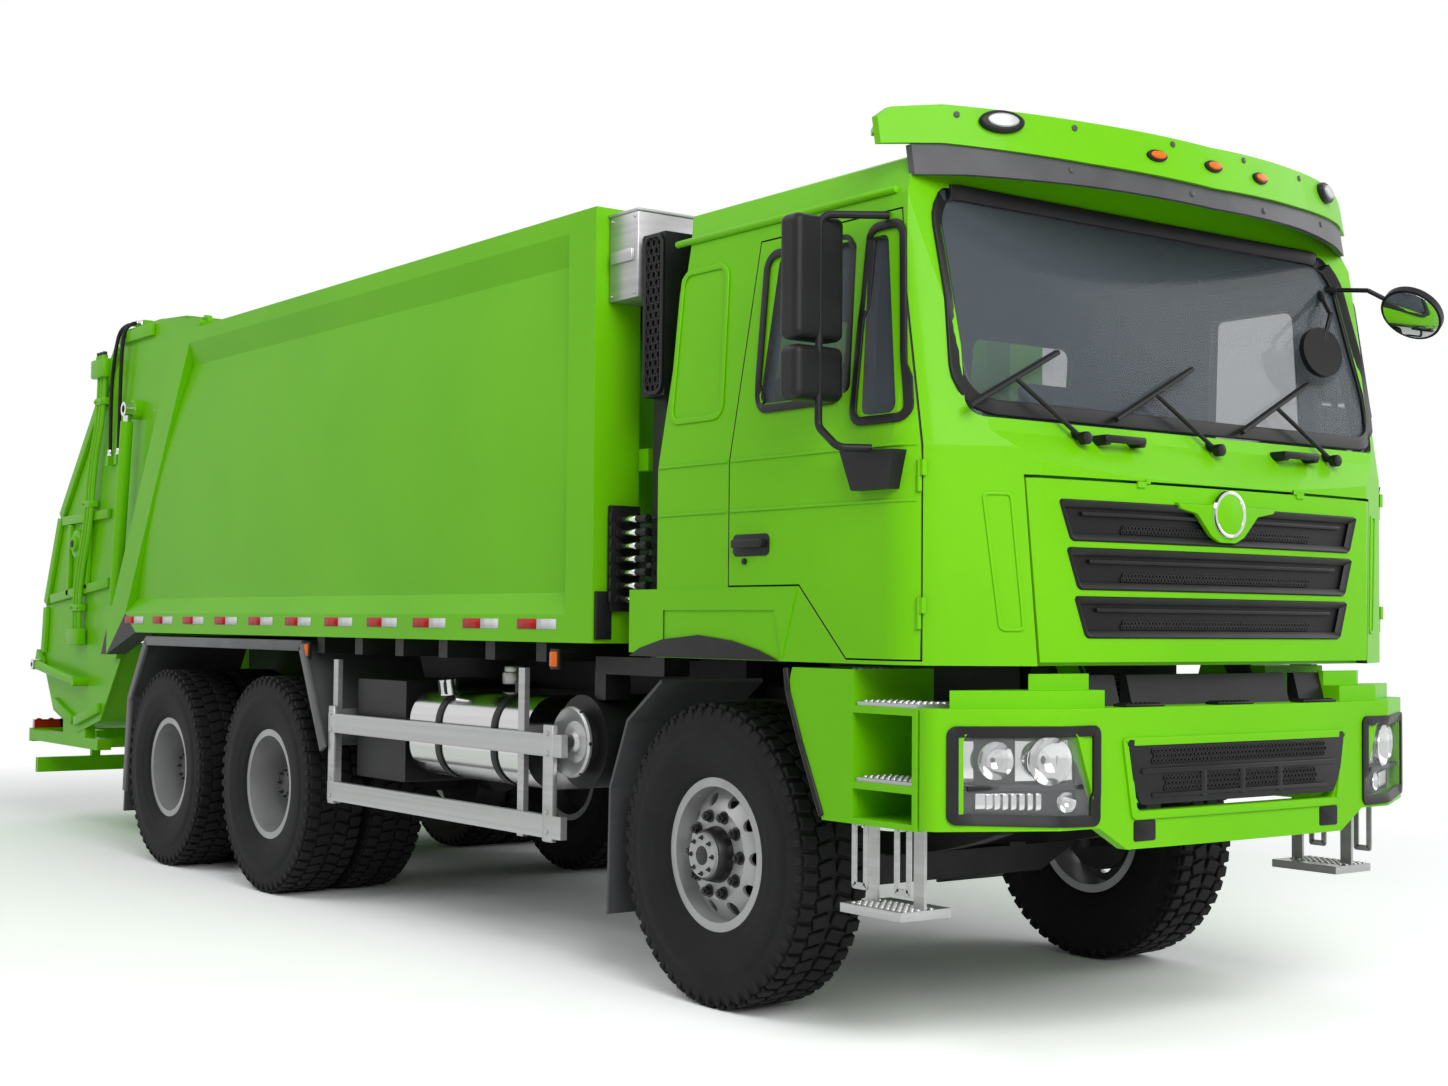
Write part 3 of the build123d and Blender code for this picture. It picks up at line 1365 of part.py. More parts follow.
with BuildPart() as bin_lifter:
    add(rod((-1130, *lifter_pivot), (1130, *lifter_pivot), 36))
    for side in (-1, 1):
        add(side_prism([on_circle(lifter_pivot, 50, lever_rest_angle + 90),
                        on_circle(lifter_pivot, 50, lever_rest_angle - 90),
                        on_circle(lever_eye, 30, lever_rest_angle - 90),
                        on_circle(lever_eye, 30, lever_rest_angle + 90)], side * 1130 - 15, side * 1130 + 15))
        add(rod((side * 1130, *lever_eye), (side * (lifter_x - eye_half_width - seat_gap), *lever_eye), 28))
        add(side_prism([(7840, 1180), (7960, 1180), (7960, 1060), (7840, 1115)],
                       side * 450 - 25, side * 450 + 25))
    add(bar(0, 7975, 925, 1200, 36, 510))
    add(bar(0, 8005, 1150, 1240, 60, 40))
    add(bar(0, 8005, 720, 1240, 60, 50))
save(bin_lifter.part, "bin_lifter")

lamps = []
for side in (-1, 1):
    lamps.append(bar(side * 1000, 8040, 600 + 75.3, 180, 40, 60))
save_group(lamps, "tail_lamps")

controls = []
controls.append(bar(-880, body_front + 70, 2720, 240, 159.4, 300))
with BuildPart() as valves:
    add(bar(-860, body_front + 104.7, 1665, 280, 90, 300))
    for row in range(4):
        add(rod((-960 + 66 * row, body_front + 20, 1700), (-960 + 66 * row, body_front + 60, 1600), 12))
controls.append(valves.part)
save_group(controls, "hydraulic_controls")



def hose_tube(points, radius):
    """A hose along points (x, y from the front axle, z): straight runs joined by the widest arcs."""
    corners = [Vector(x, at(y), z) for x, y, z in points]
    runs = [b - a for a, b in zip(corners, corners[1:])]
    radii = []
    for before, after in zip(runs, runs[1:]):
        turn = radians(before.get_angle(after))
        radii.append(0.45 * min(before.length, after.length) / tan(turn / 2))
    print("hose arc radii", [round(value) for value in radii])
    with BuildPart() as made:
        with BuildLine() as path:
            FilletPolyline(*corners, radius=radii)
        with BuildSketch(Plane(origin=path.line @ 0, z_dir=path.line % 0)):
            Circle(radius)
        sweep()
    print("hose length", round(path.wires()[0].length, 1), "volume / section", round(
        made.part.volume / (pi * radius**2), 1))
    return made.part


# Each hose runs from a port on the tailgate's top, over the edge and down to a port on its side
hose_routes = {
    "hose_front": [
        (-1038, 6220, 3270), (-1084, 6220, 3270), (-1126, 6226, 3246), (-1150, 6234, 3204),
        (-1155, 6250, 3112), (-1152, 6272, 2960), (-1144, 6300, 2790), (-1135, 6332, 2610),
        (-1135, 6332, 2440),
    ],
    "hose_rear": [
        (-1038, 6300, 3270), (-1084, 6300, 3270), (-1126, 6308, 3246), (-1150, 6322, 3204),
        (-1158, 6350, 3116), (-1160, 6392, 2976), (-1152, 6436, 2830), (-1139, 6472, 2680),
        (-1135, 6484, 2560), (-1135, 6484, 2440),
    ],
}
for label, route in hose_routes.items():
    save(hose_tube(route, hose_radius), label)
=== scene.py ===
# %% [markdown]
# A garbage truck, dressed for its picture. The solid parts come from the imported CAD
# model, which is the fixed frame here: nothing of it is moved or reshaped. This file
# adds what a solid model leaves out, such as tread, bolts, rubber and lamps, and gives
# every part its finish.
# %% Load the frame
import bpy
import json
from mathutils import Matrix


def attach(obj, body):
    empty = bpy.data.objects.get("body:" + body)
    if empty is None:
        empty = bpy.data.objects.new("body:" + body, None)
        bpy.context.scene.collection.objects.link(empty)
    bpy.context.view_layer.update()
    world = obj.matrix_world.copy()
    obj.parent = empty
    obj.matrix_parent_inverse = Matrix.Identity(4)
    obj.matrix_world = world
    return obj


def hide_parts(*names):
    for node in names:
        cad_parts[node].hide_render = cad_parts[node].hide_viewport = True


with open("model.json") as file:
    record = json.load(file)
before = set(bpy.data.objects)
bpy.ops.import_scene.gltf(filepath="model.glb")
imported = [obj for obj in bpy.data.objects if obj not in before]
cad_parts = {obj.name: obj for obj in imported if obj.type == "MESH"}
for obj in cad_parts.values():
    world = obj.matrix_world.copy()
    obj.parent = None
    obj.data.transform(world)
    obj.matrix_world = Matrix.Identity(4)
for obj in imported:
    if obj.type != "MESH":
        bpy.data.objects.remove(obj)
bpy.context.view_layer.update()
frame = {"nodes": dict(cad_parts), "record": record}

# %% [markdown]
# Everything below works in metres, with +Z up, the truck facing -Y and its left on +X.
# Lengths along the truck are easiest to read from the front axle, so one helper adds
# the axle's own place.
# %% Measures
import json
import math

import bmesh
import bpy
from mathutils import Matrix, Vector
from mathutils.bvhtree import BVHTree

FRONT_AXLE = -3.280
REAR_AXLES = ((3.775, "middle"), (5.175, "rear"))
WHEEL_CENTRE = 0.560
BODY_FLOOR = 1.327
CAB_WIDTH = 2.6
SIDES = ((-1, "right"), (1, "left"))


def at(y):
    """A distance behind the front axle as a Y coordinate of the frame."""
    return FRONT_AXLE + y


print("front axle at y =", at(0))

# %% [markdown]
# The camera stands at the truck's right front, a little above bumper height. It looks
# 36.6 degrees off the truck's length through a normal lens of 49 mm.
# %% Camera
def look(yaw, pitch, roll):
    """The turn of a camera that looks along +Y, turned by yaw to +X, then raised by pitch."""
    level = math.cos(pitch)
    ahead = Vector((math.sin(yaw) * level, math.cos(yaw) * level, math.sin(pitch)))
    right = Vector((math.cos(yaw), -math.sin(yaw), 0))
    down = ahead.cross(right)
    c, s = math.cos(roll), math.sin(roll)
    rolled_right = c * right + s * down
    rolled_down = c * down - s * right
    return Matrix((rolled_right, -rolled_down, -ahead)).transposed().to_4x4()


camera_data = bpy.data.cameras.new("camera")
camera_data.sensor_width = 36
camera_data.lens = 49.1
camera_data.clip_end = 200
camera = bpy.data.objects.new("camera", camera_data)
camera.matrix_world = (Matrix.Translation((-5.463, at(-5.900), 1.411))
                       @ look(math.radians(36.593), math.radians(2.344), math.radians(-0.501)))
bpy.context.scene.collection.objects.link(camera)
bpy.context.scene.camera = camera
print("camera at", tuple(round(v, 3) for v in camera.matrix_world.translation))

# %% [markdown]
# The light is plain and soft: a pale world all round and three large lamps. Camera,
# mirror and glass rays see the world as white, and the light on the truck is weaker
# than that, so the background is white and the paint keeps its colour.
# %% World
def add_node(tree, kind, **inputs):
    """A shader node, with some of its inputs set."""
    node = tree.nodes.new(f"ShaderNode{kind}")
    for key, value in inputs.items():
        node.inputs[key.replace("_", " ")].default_value = value
    return node


def white_for_sight(tree, plain, sight, out):
    """Shows the shader sight to camera, mirror and glass rays, and plain to all others."""
    rays = add_node(tree, "LightPath")
    first, second = add_node(tree, "Math"), add_node(tree, "Math")
    first.operation = second.operation = "MAXIMUM"
    mix = add_node(tree, "MixShader")
    for start, end in ((rays.outputs["Is Camera Ray"], first.inputs[0]),
                       (rays.outputs["Is Glossy Ray"], first.inputs[1]),
                       (first.outputs[0], second.inputs[0]),
                       (rays.outputs["Is Transmission Ray"], second.inputs[1]),
                       (second.outputs[0], mix.inputs["Fac"]),
                       (plain.outputs[0], mix.inputs[1]),
                       (sight.outputs[0], mix.inputs[2]),
                       (mix.outputs[0], out.inputs["Surface"])):
        tree.links.new(start, end)


world = bpy.data.worlds.new("studio")
bpy.context.scene.world = world
world.use_nodes = True
world_tree = world.node_tree
world_tree.nodes.clear()
world_out = add_node(world_tree, "OutputWorld")
soft_light = add_node(world_tree, "Background", Color=(0.96, 0.98, 1.0, 1), Strength=0.38)
backdrop = add_node(world_tree, "Background", Color=(1, 1, 1, 1))
white_for_sight(world_tree, soft_light, backdrop, world_out)
print("soft light:", round(soft_light.inputs["Strength"].default_value, 2))

# %% [markdown]
# The lamps are areas of several metres, so their shadows are soft. The key lamp stands
# over the camera's side, the long one over the truck's right side, and a weak one fills
# the far side.
# %% Lamps
def area_lamp(name, place, target, size, power):
    """A rectangular lamp that looks from its place at a target."""
    lamp = bpy.data.lights.new(name, "AREA")
    lamp.shape = "RECTANGLE"
    lamp.size, lamp.size_y = size
    lamp.energy = power
    holder = bpy.data.objects.new(name, lamp)
    turn = (Vector(target) - Vector(place)).to_track_quat("-Z", "Y").to_matrix().to_4x4()
    holder.matrix_world = Matrix.Translation(place) @ turn
    bpy.context.scene.collection.objects.link(holder)


area_lamp("key", (-3.6, at(-9.5), 7.2), (0.3, at(0.5), 1.3), (7, 7), 900)
area_lamp("long", (-8.0, at(4.0), 9.0), (0, at(3.0), 1.4), (10, 4), 230)
area_lamp("fill", (9.0, at(-4.0), 6.0), (0, at(1.0), 1.5), (6, 6), 200)

# %% [markdown]
# The floor is a plain pale sheet. To the camera it is paler still, which brings the open
# floor to white and leaves the truck's soft shadow on it.
# %% Floor
bm = bmesh.new()
bmesh.ops.create_grid(bm, x_segments=1, y_segments=1, size=70)
floor_mesh = bpy.data.meshes.new("floor")
bm.to_mesh(floor_mesh)
bm.free()
floor = bpy.data.objects.new("floor", floor_mesh)
bpy.context.scene.collection.objects.link(floor)
floor_finish = bpy.data.materials.new("floor_pale")
floor_finish.use_nodes = True
floor_tree = floor_finish.node_tree
floor_tree.nodes.clear()
floor_out = add_node(floor_tree, "OutputMaterial")
floor_plain = add_node(floor_tree, "BsdfDiffuse", Color=(0.75, 0.75, 0.75, 1))
floor_bright = add_node(floor_tree, "BsdfDiffuse", Color=(1.45, 1.45, 1.45, 1))
floor_white = add_node(floor_tree, "Emission")
floor_place = add_node(floor_tree, "TexCoord")
floor_scale = add_node(floor_tree, "Mapping", Scale=(1 / 7.0, 1 / 10.0, 1))
floor_distance = add_node(floor_tree, "TexGradient")
floor_distance.gradient_type = "SPHERICAL"
floor_fade = add_node(floor_tree, "MapRange", From_Min=0.35, From_Max=0.0)
floor_sight = add_node(floor_tree, "MixShader")
for start, end in ((floor_place.outputs["Object"], floor_scale.inputs["Vector"]),
                   (floor_scale.outputs["Vector"], floor_distance.inputs["Vector"]),
                   (floor_distance.outputs["Fac"], floor_fade.inputs["Value"]),
                   (floor_fade.outputs["Result"], floor_sight.inputs["Fac"]),
                   (floor_bright.outputs[0], floor_sight.inputs[1]),
                   (floor_white.outputs[0], floor_sight.inputs[2])):
    floor_tree.links.new(start, end)
white_for_sight(floor_tree, floor_plain, floor_sight, floor_out)
floor_mesh.materials.append(floor_finish)
bpy.context.scene.view_settings.view_transform = "Standard"
print("floor:", tuple(round(length) for length in floor.dimensions))

# %% [markdown]
# Each finish is a Principled shader whose colour, roughness and bump come from noise in
# the object's own coordinates, at the scale of the real surface. One helper lays two
# close colours over each other in soft patches, and another adds the fine grain.
# %% Finish helpers
finish = {}


def new_finish(name, color, roughness, metallic=0.0, **sockets):
    """A material with one Principled shader, kept under its slot's name."""
    made = bpy.data.materials.new(name)
    made.use_nodes = True
    shader = made.node_tree.nodes["Principled BSDF"]
    shader.inputs["Base Color"].default_value = (*color, 1)
    shader.inputs["Roughness"].default_value = roughness
    shader.inputs["Metallic"].default_value = metallic
    for key, value in sockets.items():
        shader.inputs[key.replace("_", " ")].default_value = value
    finish[name] = made
    return made


def add_noise(made, scale, stretch=(1, 1, 1), detail=4.0):
    """A noise texture on the object's coordinates, stretched along its axes."""
    tree = made.node_tree
    place = add_node(tree, "TexCoord")
    mapping = add_node(tree, "Mapping", Scale=stretch)
    noise = add_node(tree, "TexNoise", Scale=scale, Detail=detail)
    tree.links.new(place.outputs["Object"], mapping.inputs["Vector"])
    tree.links.new(mapping.outputs["Vector"], noise.inputs["Vector"])
    return noise


def patches(made, low, high, scale, stretch=(1, 1, 1), socket="Base Color"):
    """Soft patches between two colours, or between two grey levels for a plain number."""
    tree = made.node_tree
    noise = add_noise(made, scale, stretch)
    ramp = add_node(tree, "ValToRGB")
    for stop, position, value in zip(ramp.color_ramp.elements, (0.35, 0.65), (low, high)):
        stop.position = position
        stop.color = (*(value if hasattr(value, "__len__") else (value,) * 3), 1)
    tree.links.new(noise.outputs["Fac"], ramp.inputs["Fac"])
    tree.links.new(ramp.outputs["Color"], tree.nodes["Principled BSDF"].inputs[socket])


def grain(made, scale, strength, stretch=(1, 1, 1)):
    """A fine bump over a finish."""
    tree = made.node_tree
    noise = add_noise(made, scale, stretch, 2.0)
    bump = add_node(tree, "Bump", Strength=strength, Distance=0.001)
    tree.links.new(noise.outputs["Fac"], bump.inputs["Height"])
    tree.links.new(bump.outputs["Normal"], tree.nodes["Principled BSDF"].inputs["Normal"])


# %% [markdown]
# The body colour is a bright yellow-green enamel under clear lacquer. Its faint waviness
# is the orange peel that sprayed truck paint has.
# %% Paint and plastics
paint = new_finish("green_paint", (0.170, 0.60, 0.003), 0.42, Coat_Weight=0.09,
                   Coat_Roughness=0.06, Specular_IOR_Level=0.12)
patches(paint, (0.160, 0.565, 0.002), (0.180, 0.610, 0.003), 0.9)
grain(paint, 90, 0.03)
for name, low, high, roughness, scale, strength in (
        ("black_plastic", 0.009, 0.014, 0.42, 900, 0.10),
        ("chassis_paint", 0.010, 0.017, 0.45, 60, 0.10),
        ("interior", 0.016, 0.026, 0.60, 700, 0.15),
        ("grille_dark", 0.003, 0.005, 0.45, 500, 0.06),
        ("mudguard_grey", 0.075, 0.095, 0.45, 500, 0.10),
        ("mudguard_edge_grey", 0.125, 0.155, 0.40, 500, 0.10),
        ("hose_rubber", 0.007, 0.012, 0.45, 300, 0.15),
        ("tyre", 0.005, 0.009, 0.72, 160, 0.25),
        ("seal_rubber", 0.009, 0.013, 0.38, 400, 0.10),
        ("trim_grey", 0.050, 0.070, 0.70, 300, 0.20)):
    made = new_finish(name, (high, high, high), roughness, Specular_IOR_Level=0.22)
    patches(made, (low, low, low * 1.05), (high, high, high * 1.06), 6)
    grain(made, scale, strength)
print("finishes:", len(finish))

# %% [markdown]
# Metals differ by how they were made: the rims are sprayed silver, the guards and steps
# are mill-finished aluminium with faint drawing lines, the axles are raw castings, and
# the rods are chromed and polished.
# %% Metals
for name, low, high, roughness, metallic, scale, stretch, strength in (
        ("silver_rim", 0.36, 0.43, 0.38, 0.35, 200, (1, 1, 1), 0.06),
        ("aluminium", 0.40, 0.48, 0.36, 0.70, 60, (1, 0.05, 8), 0.05),
        ("cast_metal", 0.018, 0.034, 0.62, 0.35, 120, (1, 1, 1), 0.35),
        ("bright_tank", 0.55, 0.62, 0.16, 1.0, 30, (6, 0.1, 6), 0.03),
        ("rod_chrome", 0.66, 0.72, 0.08, 1.0, 300, (1, 1, 1), 0.01),
        ("nut_black", 0.012, 0.022, 0.36, 0.3, 200, (1, 1, 1), 0.10)):
    made = new_finish(name, (high, high, high), roughness, metallic)
    patches(made, (low, low, low), (high, high, high * 1.01), 5, stretch)
    grain(made, scale, strength, stretch)
print("metals done")

# %% [markdown]
# Glass is a thin film of grey tint over what is behind it, and the lamp covers are
# clearer. The coloured lamps are solid plastic, and the tapes glitter a little.
# %% Glass and lamps
new_finish("clear_glass", (0.15, 0.18, 0.205), 0.02, Alpha=0.30, Specular_IOR_Level=0.25)
new_finish("lamp_glass", (0.60, 0.62, 0.63), 0.03, Alpha=0.10)
new_finish("red_lamp", (0.45, 0.006, 0.006), 0.12, Coat_Weight=1.0)
new_finish("amber_lamp", (0.86, 0.155, 0.001), 0.25, Specular_IOR_Level=0.25)
new_finish("white_tape", (0.72, 0.73, 0.72), 0.25)
new_finish("red_tape", (0.50, 0.004, 0.004), 0.35, Specular_IOR_Level=0.2)
seat_cloth = new_finish("seat_cloth", (0.02, 0.02, 0.023), 0.9, Sheen_Weight=0.3)
patches(seat_cloth, (0.012, 0.012, 0.014), (0.03, 0.03, 0.034), 400)
grain(seat_cloth, 500, 0.5)
new_finish("mirror_face", (0.75, 0.77, 0.78), 0.02, 1.0)
for name, low, high in (("clear_glass", 0.10, 0.14), ("lamp_glass", 0.02, 0.05),
                        ("red_lamp", 0.08, 0.20), ("amber_lamp", 0.18, 0.32),
                        ("mirror_face", 0.01, 0.05)):
    patches(finish[name], low, high, 9.0, (1, 1, 2.5), "Roughness")
for name, scale in (("red_tape", 260), ("white_tape", 260), ("amber_lamp", 500), ("red_lamp", 500)):
    grain(finish[name], scale, 0.2)
print("glass done")

# %% [markdown]
# Every CAD node takes the finish of its slot in the record.
# %% Dress the CAD nodes
slots = {row["node"]: row["material_slot"] for row in frame["record"]["subparts"]}
slots["fuel_tank"] = "bright_tank"
for name, node in frame["nodes"].items():
    node.data.materials.clear()
    node.data.materials.append(finish[slots[name]])
print("dressed nodes:", len(frame["nodes"]))

# %% [markdown]
# Under the load space the floor and its cross members are black, like the chassis, so
# the lowest faces of the body take that finish.
# %% Black underside of the body
body_mesh = frame["nodes"]["refuse_body"].data
body_mesh.materials.append(finish["chassis_paint"])
for face in body_mesh.polygons:
    if face.center.z < BODY_FLOOR:
        face.material_index = 1
print("underside faces:", sum(face.material_index for face in body_mesh.polygons))

# %% [markdown]
# The cab's shell and doors are green outside and grey inside. A face that looks at
# another part of the cab, less than a cab's width away, is on the inside.
# %% Grey inside the cab
def surface_of(*names):
    """A search tree over the faces of some CAD nodes."""
    points, faces = [], []
    for name in names:
        mesh = frame["nodes"][name].data
        first = len(points)
        points += [v.co.copy() for v in mesh.vertices]
        faces += [[first + i for i in p.vertices] for p in mesh.polygons]
    return BVHTree.FromPolygons(points, faces)


cab_nodes = ("cab_shell", "door_left", "door_right")
cab_surface = surface_of(*cab_nodes, "cab_glass", "door_glass_left", "door_glass_right")
for name in cab_nodes:
    mesh = frame["nodes"][name].data
    mesh.materials.append(finish["trim_grey"])
    inside = 0
    for face in mesh.polygons:
        start = face.center + face.normal * 0.02
        hit = cab_surface.ray_cast(start, face.normal, CAB_WIDTH)[0]
        if hit is not None:
            face.material_index = 1
            inside += 1
    print(name, "inside faces:", inside, "of", len(mesh.polygons))

# %% [markdown]
# New pieces are modelled in bmesh. Each small shape is made at the origin from a
# primitive and bevelled there, since no real edge is perfectly sharp.
# %% Slabs and drums
def soften(part, edges, width, segments=2):
    """Rounds some edges of a shape."""
    bmesh.ops.bevel(part, geom=list(edges), offset=width, segments=segments, affect="EDGES",
                    profile=0.5, material=-1)


def slab(size, soft=0.0, segments=2):
    """A box round the origin."""
    part = bmesh.new()
    bmesh.ops.create_cube(part, size=1, matrix=Matrix.Diagonal((*size, 1)))
    if soft:
        soften(part, part.edges, soft, segments)
    return part


def rims(part):
    """The edges round a shape's many-sided faces."""
    return [e for e in part.edges if any(len(f.verts) > 4 for f in e.link_faces)]


def drum(radius, depth, soft=0.0, sides=32, top=None):
    """A drum round the Z axis, or a cone where top is another radius."""
    part = bmesh.new()
    bmesh.ops.create_cone(part, cap_ends=True, segments=sides, radius1=radius,
                          radius2=radius if top is None else top, depth=depth)
    if soft:
        soften(part, rims(part), soft)
    return part


# %% [markdown]
# Plates and covers have free outlines with rounded corners. They start as one flat face,
# which is rounded at its corners and then pushed out to its thickness.
# %% Plates
def sheet(outline, rounding=0.0, segments=4):
    """One flat face in the XZ plane, from an outline of (x, z), with rounded corners."""
    part = bmesh.new()
    part.faces.new([part.verts.new((x, 0, z)) for x, z in outline])
    if rounding:
        bmesh.ops.bevel(part, geom=list(part.verts), offset=rounding, segments=segments,
                        affect="VERTICES", profile=0.5, material=-1)
    return part


def plate(outline, thick, rounding=0.0, soft=0.0):
    """A sheet made thick towards +Y."""
    part = sheet(outline, rounding)
    moved = bmesh.ops.extrude_face_region(part, geom=list(part.faces))["geom"]
    bmesh.ops.translate(part, vec=(0, thick, 0),
                        verts=[v for v in moved if isinstance(v, bmesh.types.BMVert)])
    bmesh.ops.recalc_face_normals(part, faces=part.faces)
    if soft:
        soften(part, rims(part), soft)
    return part


# %% [markdown]
# A small shape is joined into its piece at its place, so that one piece can hold all the
# bolts of a wheel.
# %% Placing helpers
def aim(place, direction, turn=0.0):
    """The matrix that puts a shape's Z axis along a direction, at a place."""
    facing = Vector(direction).to_track_quat("Z", "Y").to_matrix().to_4x4()
    return Matrix.Translation(place) @ facing @ Matrix.Rotation(turn, 4, "Z")


def join(bm, part, placed=None):
    """Moves a small shape into a larger one."""
    if placed is not None:
        if isinstance(placed, (Vector, tuple)):
            placed = Matrix.Translation(placed)
        bmesh.ops.transform(part, matrix=placed, verts=part.verts)
    holder = bpy.data.meshes.new("holder")
    part.to_mesh(holder)
    part.free()
    bm.from_mesh(holder)
    bpy.data.meshes.remove(holder)


def rod(bm, start, end, radius, soft=0.0, sides=16, top=None):
    """Joins a round bar between two points."""
    start, end = Vector(start), Vector(end)
    bar = drum(radius, (end - start).length, soft, sides, top)
    join(bm, bar, aim((start + end) / 2, end - start))


def place_mesh(name, mesh, finish_name, body):
    """An object from a finished mesh, riding on a body, with the given finish."""
    mesh.materials.append(finish[finish_name])
    piece = bpy.data.objects.new(name, mesh)
    bpy.context.scene.collection.objects.link(piece)
    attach(piece, body)
    return piece


def new_piece(name, bm, finish_name, body, sharp=35):
    """A piece from joined shapes, smooth except across edges over the angle sharp."""
    bmesh.ops.recalc_face_normals(bm, faces=bm.faces)
    for face in bm.faces:
        face.smooth = True
    for edge in bm.edges:
        edge.smooth = len(edge.link_faces) == 2 and edge.calc_face_angle(0) < math.radians(sharp)
    mesh = bpy.data.meshes.new(name)
    bm.to_mesh(mesh)
    bm.free()
    return place_mesh(name, mesh, finish_name, body)


def small_parts_piece(name, finish_name, body, *parts):
    """A piece from small shapes, each given with its place."""
    bm = bmesh.new()
    for part, placed in parts:
        join(bm, part, placed)
    return new_piece(name, bm, finish_name, body)


# %% [markdown]
# Tyres, rings, bowls and dished covers are all bodies of revolution, so one helper spins
# a profile round an axis, as a lathe does.
# %% Lathe helper
def lathe(profile, steps=96, closed=False):
    """Spins a profile of (across, radius) points round the X axis."""
    part = bmesh.new()
    verts = [part.verts.new((u, 0, r)) for u, r in profile]
    edges = [part.edges.new(pair) for pair in zip(verts, verts[1:])]
    if closed:
        edges.append(part.edges.new((verts[-1], verts[0])))
    bmesh.ops.spin(part, geom=verts + edges, cent=(0, 0, 0), axis=(1, 0, 0), angle=2 * math.pi,
                   steps=steps, use_merge=True)
    bmesh.ops.remove_doubles(part, verts=part.verts, dist=1e-5)
    bmesh.ops.recalc_face_normals(part, faces=part.faces)
    return part


# %% [markdown]
# A truck tyre is such a body with its tread cut into it. Here the carcass is the spun
# profile, and the tread stands on it as rows of rounded blocks, skewed a little and
# staggered from row to row, with small lugs that run down the shoulders.
# %% Tyres
TYRE_PROFILE = ((0.104, 0.268), (0.122, 0.285), (0.134, 0.300), (0.136, 0.312), (0.146, 0.345),
                (0.1500, 0.360), (0.1500, 0.368), (0.1565, 0.400), (0.1575, 0.425), (0.1575, 0.458),
                (0.1545, 0.464), (0.1545, 0.472), (0.1545, 0.500), (0.1500, 0.520), (0.1440, 0.536),
                (0.1200, 0.543), (0.0, 0.546))
TREAD_STEPS = 54
TREAD_STEP = 2 * math.pi / TREAD_STEPS


def tread_row(across, size, skew, phase, radius):
    """One row of tread blocks round the X axis; size is (width, length, height)."""
    part = slab(size, 0.004, 1)
    place = Matrix.Translation((across, 0, radius - size[2] / 2)) @ Matrix.Rotation(skew, 4, "Z")
    bmesh.ops.transform(part, matrix=Matrix.Rotation(phase, 4, "X") @ place, verts=part.verts)
    bmesh.ops.spin(part, geom=part.verts[:] + part.edges[:] + part.faces[:], cent=(0, 0, 0),
                   axis=(1, 0, 0), angle=2 * math.pi - TREAD_STEP, steps=TREAD_STEPS - 1,
                   use_duplicate=True)
    return part


def tyre_shape():
    """One tyre round the X axis: its carcass and six rows of blocks and lugs."""
    tyre = bmesh.new()
    far_half = [(-u, r) for u, r in reversed(TYRE_PROFILE[:-1])]
    join(tyre, lathe(list(TYRE_PROFILE) + far_half, closed=True))
    for side in (-1, 1):
        join(tyre, tread_row(side * 0.1135, (0.056, 0.046, 0.034), side * 0.10, 0, 0.5585))
        join(tyre, tread_row(side * 0.0420, (0.070, 0.050, 0.024), -side * 0.28, TREAD_STEP / 2,
                             0.5595))
        join(tyre, tread_row(side * 0.1475, (0.014, 0.030, 0.040), 0, 0, 0.545))
    return tyre


def tyre_piece(name, centres, y, body, node):
    """The tyres of one wheel, in place of the plain tyre in the CAD model."""
    bm = bmesh.new()
    for x in centres:
        join(bm, tyre_shape(), (x, at(y), WHEEL_CENTRE))
    piece = new_piece(name, bm, "tyre", body, 40)
    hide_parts(node)
    return piece


for side, word in SIDES:
    tyre_piece(f"front_tyre_{word}", [side * 0.990], 0, f"{word}_front_wheel", f"tyre_front_{word}")
    for y, place in REAR_AXLES:
        twins = tyre_piece(f"{place}_twin_tyres_{word}", [side * 1.090, side * 0.740], y,
                           f"{word}_{place}_wheels", f"tyres_{place}_{word}")
print("faces in a pair of tyres:", len(twins.data.polygons))

# %% [markdown]
# Ten flanged nuts hold each wheel on its studs, and the hub closes it. On the front hub
# sits a ring of small bolts, and on the rear hubs the flanged end of the axle shaft.
# %% Wheel nuts and hubs
def nut_ring(bm, x, side, circle, count, across, height):
    """Hexagonal nuts on washers round the X axis, standing outwards from x."""
    out = Vector((side, 0, 0))
    for i in range(count):
        angle = 2 * math.pi * i / count
        foot = Vector((x, circle * math.cos(angle), circle * math.sin(angle)))
        for shape, ahead, turn in (
                (drum(across * 1.35, 0.006, 0.0015, 20), 0.003, 0),
                (drum(across, height, 0.002, 6), 0.006 + height / 2, angle),
                (drum(across * 0.55, 0.008, 0.002, 12), 0.010 + height, 0)):
            join(bm, shape, aim(foot + out * ahead, out, turn))


